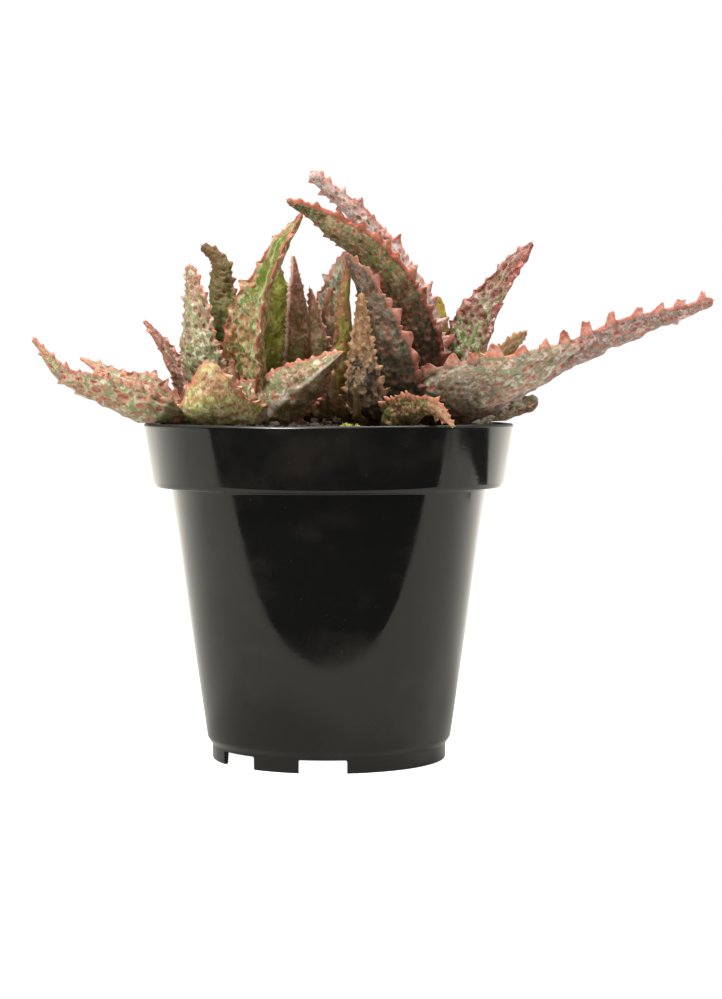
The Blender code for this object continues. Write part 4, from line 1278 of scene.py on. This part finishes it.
class ALOE_OT_soil(bpy.types.Operator):
    """Makes the plug of potting mix with a lumpy top"""
    bl_idname = "aloe.soil"
    bl_label = "Soil"

    def execute(self, context):
        settings = context.scene.aloe_soil
        edge = RIM_RADIUS - 2.8
        floor = FLOOR_TOP + 0.3
        profile = [
            (0, floor),
            (FOOT_RADIUS - 1.4, floor),
            (inner_wall(INNER_FOOT) - 0.3, INNER_FOOT + 0.3),
            (BODY_TOP_RADIUS - WALL - 0.3, BAND_FOOT + 0.1),
            (RIM_RADIUS - 4.8, BAND_FOOT + 1.1),
            (edge, SOIL_EDGE),
            *[(edge * share, SOIL_EDGE) for share in np.linspace(0.985, 0.015, 66)],
            (0, SOIL_EDGE),
        ]
        soil = turned("soil_bed", profile, SOIL_SIDES)
        points = points_of(soil)
        top = points[:, 2] > SOIL_EDGE - 1
        lumps = 0.9 * drift(points, 4.0, 11) + 0.5 * drift(points, 1.7, 12)
        inside = np.clip((edge - np.hypot(points[:, 0], points[:, 1])) / 2, 0, 1)
        points[top, 2] = soil_top(points[top, 0], points[top, 1]) + (lumps * inside)[top] - 0.3
        move_points(soil, points)
        soil.data.shade_smooth()
        dress(soil, potting_mix(settings.colour), "soil", "soil")
        return {"FINISHED"}


# The stems.

def stem_bark():
    """Fibrous aloe stem with papery leaf scars: dull tan over grey green."""
    made, tree, shader, place = start_material("fibrous_aloe_stem")
    # Fibres 0.5 mm wide and 10 mm long, and stains of 4 mm.
    stretched = add_node(tree, "Mapping", {"Vector": place, "Scale": (2000.0, 2000.0, 100.0)})
    fibre = add_node(tree, "TexNoise", {"Vector": stretched.outputs[0], "Scale": 1.0, "Detail": 3.0})
    stain = add_node(tree, "TexNoise", {"Vector": place, "Scale": 250.0, "Detail": 3.0})
    mixed = add_node(tree, "Math", {0: fibre.outputs[0], 1: stain.outputs[0]}, operation="MULTIPLY")
    tint = add_node(tree, "ValToRGB", {0: mixed.outputs[0]}, stops=(
        (0.15, linear("#3f3219")), (0.28, linear("#6d5c35")), (0.42, linear("#a48d5e")),
    ))
    bump = add_node(tree, "Bump", {"Strength": 0.7, "Distance": 0.3 * MM, "Height": fibre.outputs[0]})
    feed(tree, shader, {"Base Color": tint.outputs[0], "Normal": bump.outputs[0], "Roughness": 0.75})
    return made


class ALOE_OT_stems(bpy.types.Operator):
    """Makes a ringed stem under each crown of leaves"""
    bl_idname = "aloe.stems"
    bl_label = "Stems"

    def execute(self, context):
        bark = stem_bark()
        for number, (crown, (x, y, radius, top)) in enumerate(CROWNS.items()):
            select_only()
            bpy.ops.mesh.primitive_cylinder_add(
                vertices=STEM_SIDES, radius=radius * MM, depth=(top + STEM_POINT - STEM_FOOT) * MM,
                location=(x * MM, y * MM, (top + STEM_POINT + STEM_FOOT) / 2 * MM), end_fill_type="TRIFAN",
            )
            stem = bpy.context.object
            stem.name = stem.data.name = f"{crown}_stem_fine"
            bpy.ops.object.transform_apply(location=True, rotation=True, scale=True)
            bpy.ops.object.mode_set(mode="EDIT")
            for height in np.arange(STEM_FOOT + 1.5, top + STEM_POINT - 0.3, STEM_RING_GAP):
                bpy.ops.mesh.select_all(action="SELECT")
                bpy.ops.mesh.bisect(plane_co=(0, 0, height * MM), plane_no=(0, 0, 1))
            bpy.ops.object.mode_set(mode="OBJECT")
            points = points_of(stem)
            out = points[:, :2] - (x, y)
            z = points[:, 2]
            ringed = 1 + 0.06 * np.sin(z * 2.2 + np.arctan2(out[:, 1], out[:, 0]))
            ringed = ringed + 0.05 * drift(points, 1.5, number)
            point = np.clip((top + STEM_POINT - z) / 2.5, 0.25, 1) ** 0.5
            scale = stem_radius(crown, z) / radius * ringed * point
            points[:, :2] = (x, y) + out * scale[:, None]
            move_points(stem, points)
            stem.data.shade_smooth()
            dress(stem, bark, "stem", f"{crown}_stem")
        return {"FINISHED"}


# The crumbs and the moss.

def scatter(name, source, places, chance):
    """Copies of a small source mesh, each turned, stretched and placed, as one piece."""
    base = np.array([vert.co for vert in source.data.vertices])
    sides = [tuple(face.vertices) for face in source.data.polygons]
    points, faces = [], []
    for place, size, lean in places:
        turn = chance.uniform(0, 2 * math.pi)
        tilt = chance.uniform(-lean, lean)
        stretch = np.array([chance.uniform(0.7, 1.4), chance.uniform(0.6, 1.1), chance.uniform(0.7, 1.2)])
        c, s = math.cos(turn), math.sin(turn)
        ct, st = math.cos(tilt), math.sin(tilt)
        shape = base * stretch * size
        shape = shape @ np.array([[1, 0, 0], [0, ct, st], [0, -st, ct]])
        shape = shape @ np.array([[c, s, 0], [-s, c, 0], [0, 0, 1]])
        start = len(points) * len(base)
        points.append(shape + place)
        faces += [tuple(start + k for k in side) for side in sides]
    bpy.data.objects.remove(source)
    return mesh_object(name, np.vstack(points), faces)


def crumb_places(count, chance):
    """Places on the soil's top, each with a crumb's size and how far it may lean."""
    places = []
    while len(places) < count:
        x, y = chance.uniform(-52, 52), chance.uniform(-52, 52)
        if math.hypot(x, y) > RIM_RADIUS - 4:
            continue
        size = CRUMB_LEAST + (CRUMB_MOST - CRUMB_LEAST) * chance.random() ** 2.5
        places.append((np.array([x, y, float(soil_top(x, y)) + CRUMB_LIFT * size]), size, 1.0))
    return places


class ALOE_OT_crumbs(bpy.types.Operator):
    """Makes the loose crumbs of bark and peat on the soil"""
    bl_idname = "aloe.crumbs"
    bl_label = "Crumbs"

    def execute(self, context):
        settings = context.scene.aloe_soil
        chance = random.Random(5)
        select_only()
        bpy.ops.mesh.primitive_ico_sphere_add(subdivisions=2, radius=0.5)
        crumb = bpy.context.object
        bpy.ops.object.mode_set(mode="EDIT")
        bpy.ops.mesh.select_all(action="SELECT")
        bpy.ops.transform.vertex_random(offset=0.12, seed=3)
        bpy.ops.object.mode_set(mode="OBJECT")
        made = scatter("soil_crumbs", crumb, crumb_places(settings.crumbs, chance), chance)
        dress(made, bpy.data.materials["damp_potting_mix"], "soil")
        return {"FINISHED"}


def moss_frond(colour):
    """Living moss: tiny matt fronds, olive brown to yellow green in tufts."""
    made, tree, shader, place = start_material("living_moss")
    # Tufts of 2 mm and fronds of 0.5 mm.
    tuft = add_node(tree, "TexNoise", {"Vector": place, "Scale": 500.0, "Detail": 3.0})
    tint = add_node(tree, "ValToRGB", {0: tuft.outputs[0]}, stops=(
        (0.35, linear("#4a4418")), (0.5, tuple(colour)), (0.65, linear("#b3b052")),
    ))
    feed(tree, shader, {
        "Base Color": tint.outputs[0], "Roughness": 0.85,
        "Subsurface Weight": 0.1, "Subsurface Scale": 0.5 * MM,
    })
    return made


class ALOE_OT_moss(bpy.types.Operator):
    """Makes the moss cushions from many small fronds"""
    bl_idname = "aloe.moss"
    bl_label = "Moss"

    def execute(self, context):
        settings = context.scene.aloe_soil
        chance = random.Random(9)
        select_only()
        bpy.ops.mesh.primitive_cone_add(
            vertices=5, radius1=0.16, radius2=0.03, depth=1.0, location=(0, 0, 0.4),
        )
        frond = bpy.context.object
        bpy.ops.object.transform_apply(location=True, rotation=True, scale=True)
        bpy.ops.object.mode_set(mode="EDIT")
        bpy.ops.mesh.select_all(action="SELECT")
        bpy.ops.mesh.bisect(plane_co=(0, 0, 0.4), plane_no=(0, 0, 1))
        bpy.ops.transform.resize(value=(1.9, 1.9, 1.0))
        bpy.ops.object.mode_set(mode="OBJECT")
        places = []
        for x, y, radius, height in MOSS:
            for _ in range(int(FRONDS_PER_MM * radius)):
                turn, reach = chance.uniform(0, 2 * math.pi), radius * math.sqrt(chance.random())
                a, b = x + reach * math.cos(turn), y + reach * math.sin(turn)
                if math.hypot(a, b) > RIM_RADIUS - 3.5:
                    continue
                rise = height * (1 - (reach / radius) ** 2)
                size = chance.uniform(0.7, 1.5)
                places.append((np.array([a, b, float(soil_top(a, b)) + rise]), size, 0.9))
        made = scatter("moss_cushions", frond, places, chance)
        dress(made, moss_frond(settings.moss), "soil")
        return {"FINISHED"}


# The stage.

class ALOE_OT_stage(bpy.types.Operator):
    """Makes the pale floor, the dark card that gloss sees, the world, the soft lights and the camera"""
    bl_idname = "aloe.stage"
    bl_label = "Stage"

    def execute(self, context):
        settings = context.scene.aloe_stage
        made, tree, shader, place = start_material("matt_white_card")
        # The card is white to the eye, so that it meets the white behind it. To light and gloss it
        # is faintly mottled in patches of 50 mm, and gloss sees it warmer, and dimmer beside the pot.
        mottle = add_node(tree, "TexNoise", {"Vector": place, "Scale": 20.0, "Detail": 2.0})
        shade = add_node(tree, "MapRange", {0: mottle.outputs[0], 3: 0.97, 4: 1.0})
        path = add_node(tree, "LightPath")
        depth = add_node(tree, "SeparateXYZ", {0: place})
        behind = add_node(tree, "MapRange", {0: depth.outputs[1], 1: 0.05, 2: 0.6, 3: 0.5, 4: 1.3})
        glossy = path.outputs["Is Glossy Ray"]
        dimmer = add_node(tree, "MapRange", {0: glossy, 3: 1.0, 4: behind.outputs[0]})
        warmth = add_node(
            tree, "Mix", {0: glossy, 6: grey(1.0), 7: (1.0, 0.965, 0.87, 1.0)}, data_type="RGBA",
        )
        colour = tuple(settings.floor)
        for tint in (shade.outputs[0], dimmer.outputs[0], warmth.outputs[2]):
            colour = add_node(
                tree, "Mix", {0: 1.0, 6: colour, 7: tint}, data_type="RGBA", blend_type="MULTIPLY",
            ).outputs[2]
        away = add_node(tree, "VectorMath", {0: place}, operation="LENGTH")
        glow = add_node(tree, "MapRange", {0: away.outputs["Value"], 1: 0.08, 2: 0.5, 3: 0.45, 4: 1.0})
        glow = add_node(tree, "Math", {0: glow.outputs[0], 1: dimmer.outputs[0]}, operation="MULTIPLY")
        glow = add_node(
            tree, "Math", {0: glow.outputs[0], 1: path.outputs["Is Camera Ray"]}, operation="MAXIMUM",
        )
        feed(tree, shader, {
            "Base Color": colour, "Emission Strength": glow.outputs[0], "Emission Color": warmth.outputs[2],
            "Roughness": 0.9, "Specular IOR Level": 0.1,
        })
        select_only()
        bpy.ops.mesh.primitive_plane_add(size=FLOOR_SIZE, location=(0, 0, 0))
        floor = bpy.context.object
        floor.name = floor.data.name = "floor"
        floor.data.materials.append(made)

        # Where the white paper ends: in front of the pot, and past its right side.
        front = -settings.table_front / MM
        corners = [*DARK_CORNERS, (DARK_CORNERS[-1][0], front), (DARK_CORNERS[0][0], front)]
        points = [(x, y, DARK_LIFT) for x, y in corners]
        dark = mesh_object("dark_card", points, [tuple(range(len(points)))])
        made, tree, shader, _ = start_material("matt_black_card")
        feed(tree, shader, {"Base Color": linear("#1a1a1a"), "Roughness": 0.9})
        dark.data.materials.append(made)
        for sight in ("camera", "diffuse", "shadow", "transmission"):
            setattr(dark, "visible_" + sight, False)

        world = bpy.data.worlds.new("studio")
        context.scene.world = world
        world.use_nodes = True
        tree = world.node_tree
        # White for the eye. For gloss and light it is dark in front and white at the sides and back.
        direction = add_node(tree, "SeparateXYZ", {0: add_node(tree, "TexCoord").outputs["Generated"]})
        depth = add_node(
            tree, "Math", {0: direction.outputs[1], 1: 0.5, 2: 0.5}, operation="MULTIPLY_ADD",
        )
        reach = add_node(tree, "ValToRGB", {0: depth.outputs[0]}, stops=(
            (0.40, grey(0.012)), (0.43, (0.54, 0.53, 0.48, 1.0)), (0.9, (0.95, 0.93, 0.84, 1.0)),
        ))
        path = add_node(tree, "LightPath")
        soft = add_node(
            tree, "Mix", {0: path.outputs["Is Diffuse Ray"], 6: reach.outputs[0], 7: grey(0.0)},
            data_type="RGBA",
        )
        dim = add_node(tree, "Mix", {0: 0.5, 6: reach.outputs[0], 7: soft.outputs[2]}, data_type="RGBA")
        seen = add_node(
            tree, "Mix", {0: path.outputs["Is Camera Ray"], 6: dim.outputs[2], 7: grey(1.0)},
            data_type="RGBA",
        )
        feed(tree, tree.nodes["Background"], {"Color": seen.outputs[2], "Strength": 1.0})

        for name, place, size, power, shown in LIGHTS:
            lamp = bpy.data.lights.new(name, "AREA")
            lamp.shape = "SQUARE"
            lamp.size = size
            lamp.energy = power
            lit = bpy.data.objects.new(name, lamp)
            lit.location = place
            lit.rotation_euler = (Vector(LIGHTS_AIM) - Vector(place)).to_track_quat("-Z", "Y").to_euler()
            lit.visible_glossy = shown
            lit.visible_camera = False
            context.scene.collection.objects.link(lit)

        camera = bpy.data.cameras.new("camera")
        camera.lens = CAMERA_LENS
        camera.sensor_width = 36.0
        eye = bpy.data.objects.new("camera", camera)
        eye.location = CAMERA_PLACE
        eye.rotation_euler = (Vector(CAMERA_AIM) - eye.location).to_track_quat("-Z", "Y").to_euler()
        context.scene.collection.objects.link(eye)
        context.scene.camera = eye
        context.scene.view_settings.view_transform = "Standard"
        return {"FINISHED"}


OPERATORS = (
    ALOE_OT_stage, ALOE_OT_pot, ALOE_OT_soil, ALOE_OT_crumbs, ALOE_OT_moss,
    ALOE_OT_stems, ALOE_OT_leaves, ALOE_OT_leaf_bases,
)


class ALOE_PT_panel(bpy.types.Panel):
    """Lists the pieces of the potted aloe"""
    bl_label = "Potted Aloe"
    bl_idname = "ALOE_PT_panel"
    bl_space_type = "VIEW_3D"
    bl_region_type = "UI"
    bl_category = "Aloe"

    def draw(self, context):
        for operator in OPERATORS:
            self.layout.operator(operator.bl_idname)


def register():
    for group in SETTINGS.values():
        bpy.utils.register_class(group)
    for name, group in SETTINGS.items():
        setattr(bpy.types.Scene, name, PointerProperty(type=group))
    for operator in OPERATORS:
        bpy.utils.register_class(operator)
    bpy.utils.register_class(ALOE_PT_panel)


def unregister():
    bpy.utils.unregister_class(ALOE_PT_panel)
    for operator in reversed(OPERATORS):
        bpy.utils.unregister_class(operator)
    for name, group in reversed(SETTINGS.items()):
        delattr(bpy.types.Scene, name)
        bpy.utils.unregister_class(group)


def main():
    register()
    bpy.ops.aloe.stage()
    bpy.ops.aloe.pot()
    bpy.ops.aloe.soil()
    bpy.ops.aloe.crumbs()
    bpy.ops.aloe.moss()
    bpy.ops.aloe.stems()
    bpy.ops.aloe.leaves()
    bpy.ops.aloe.leaf_bases()


if __name__ == "__main__":
    main()
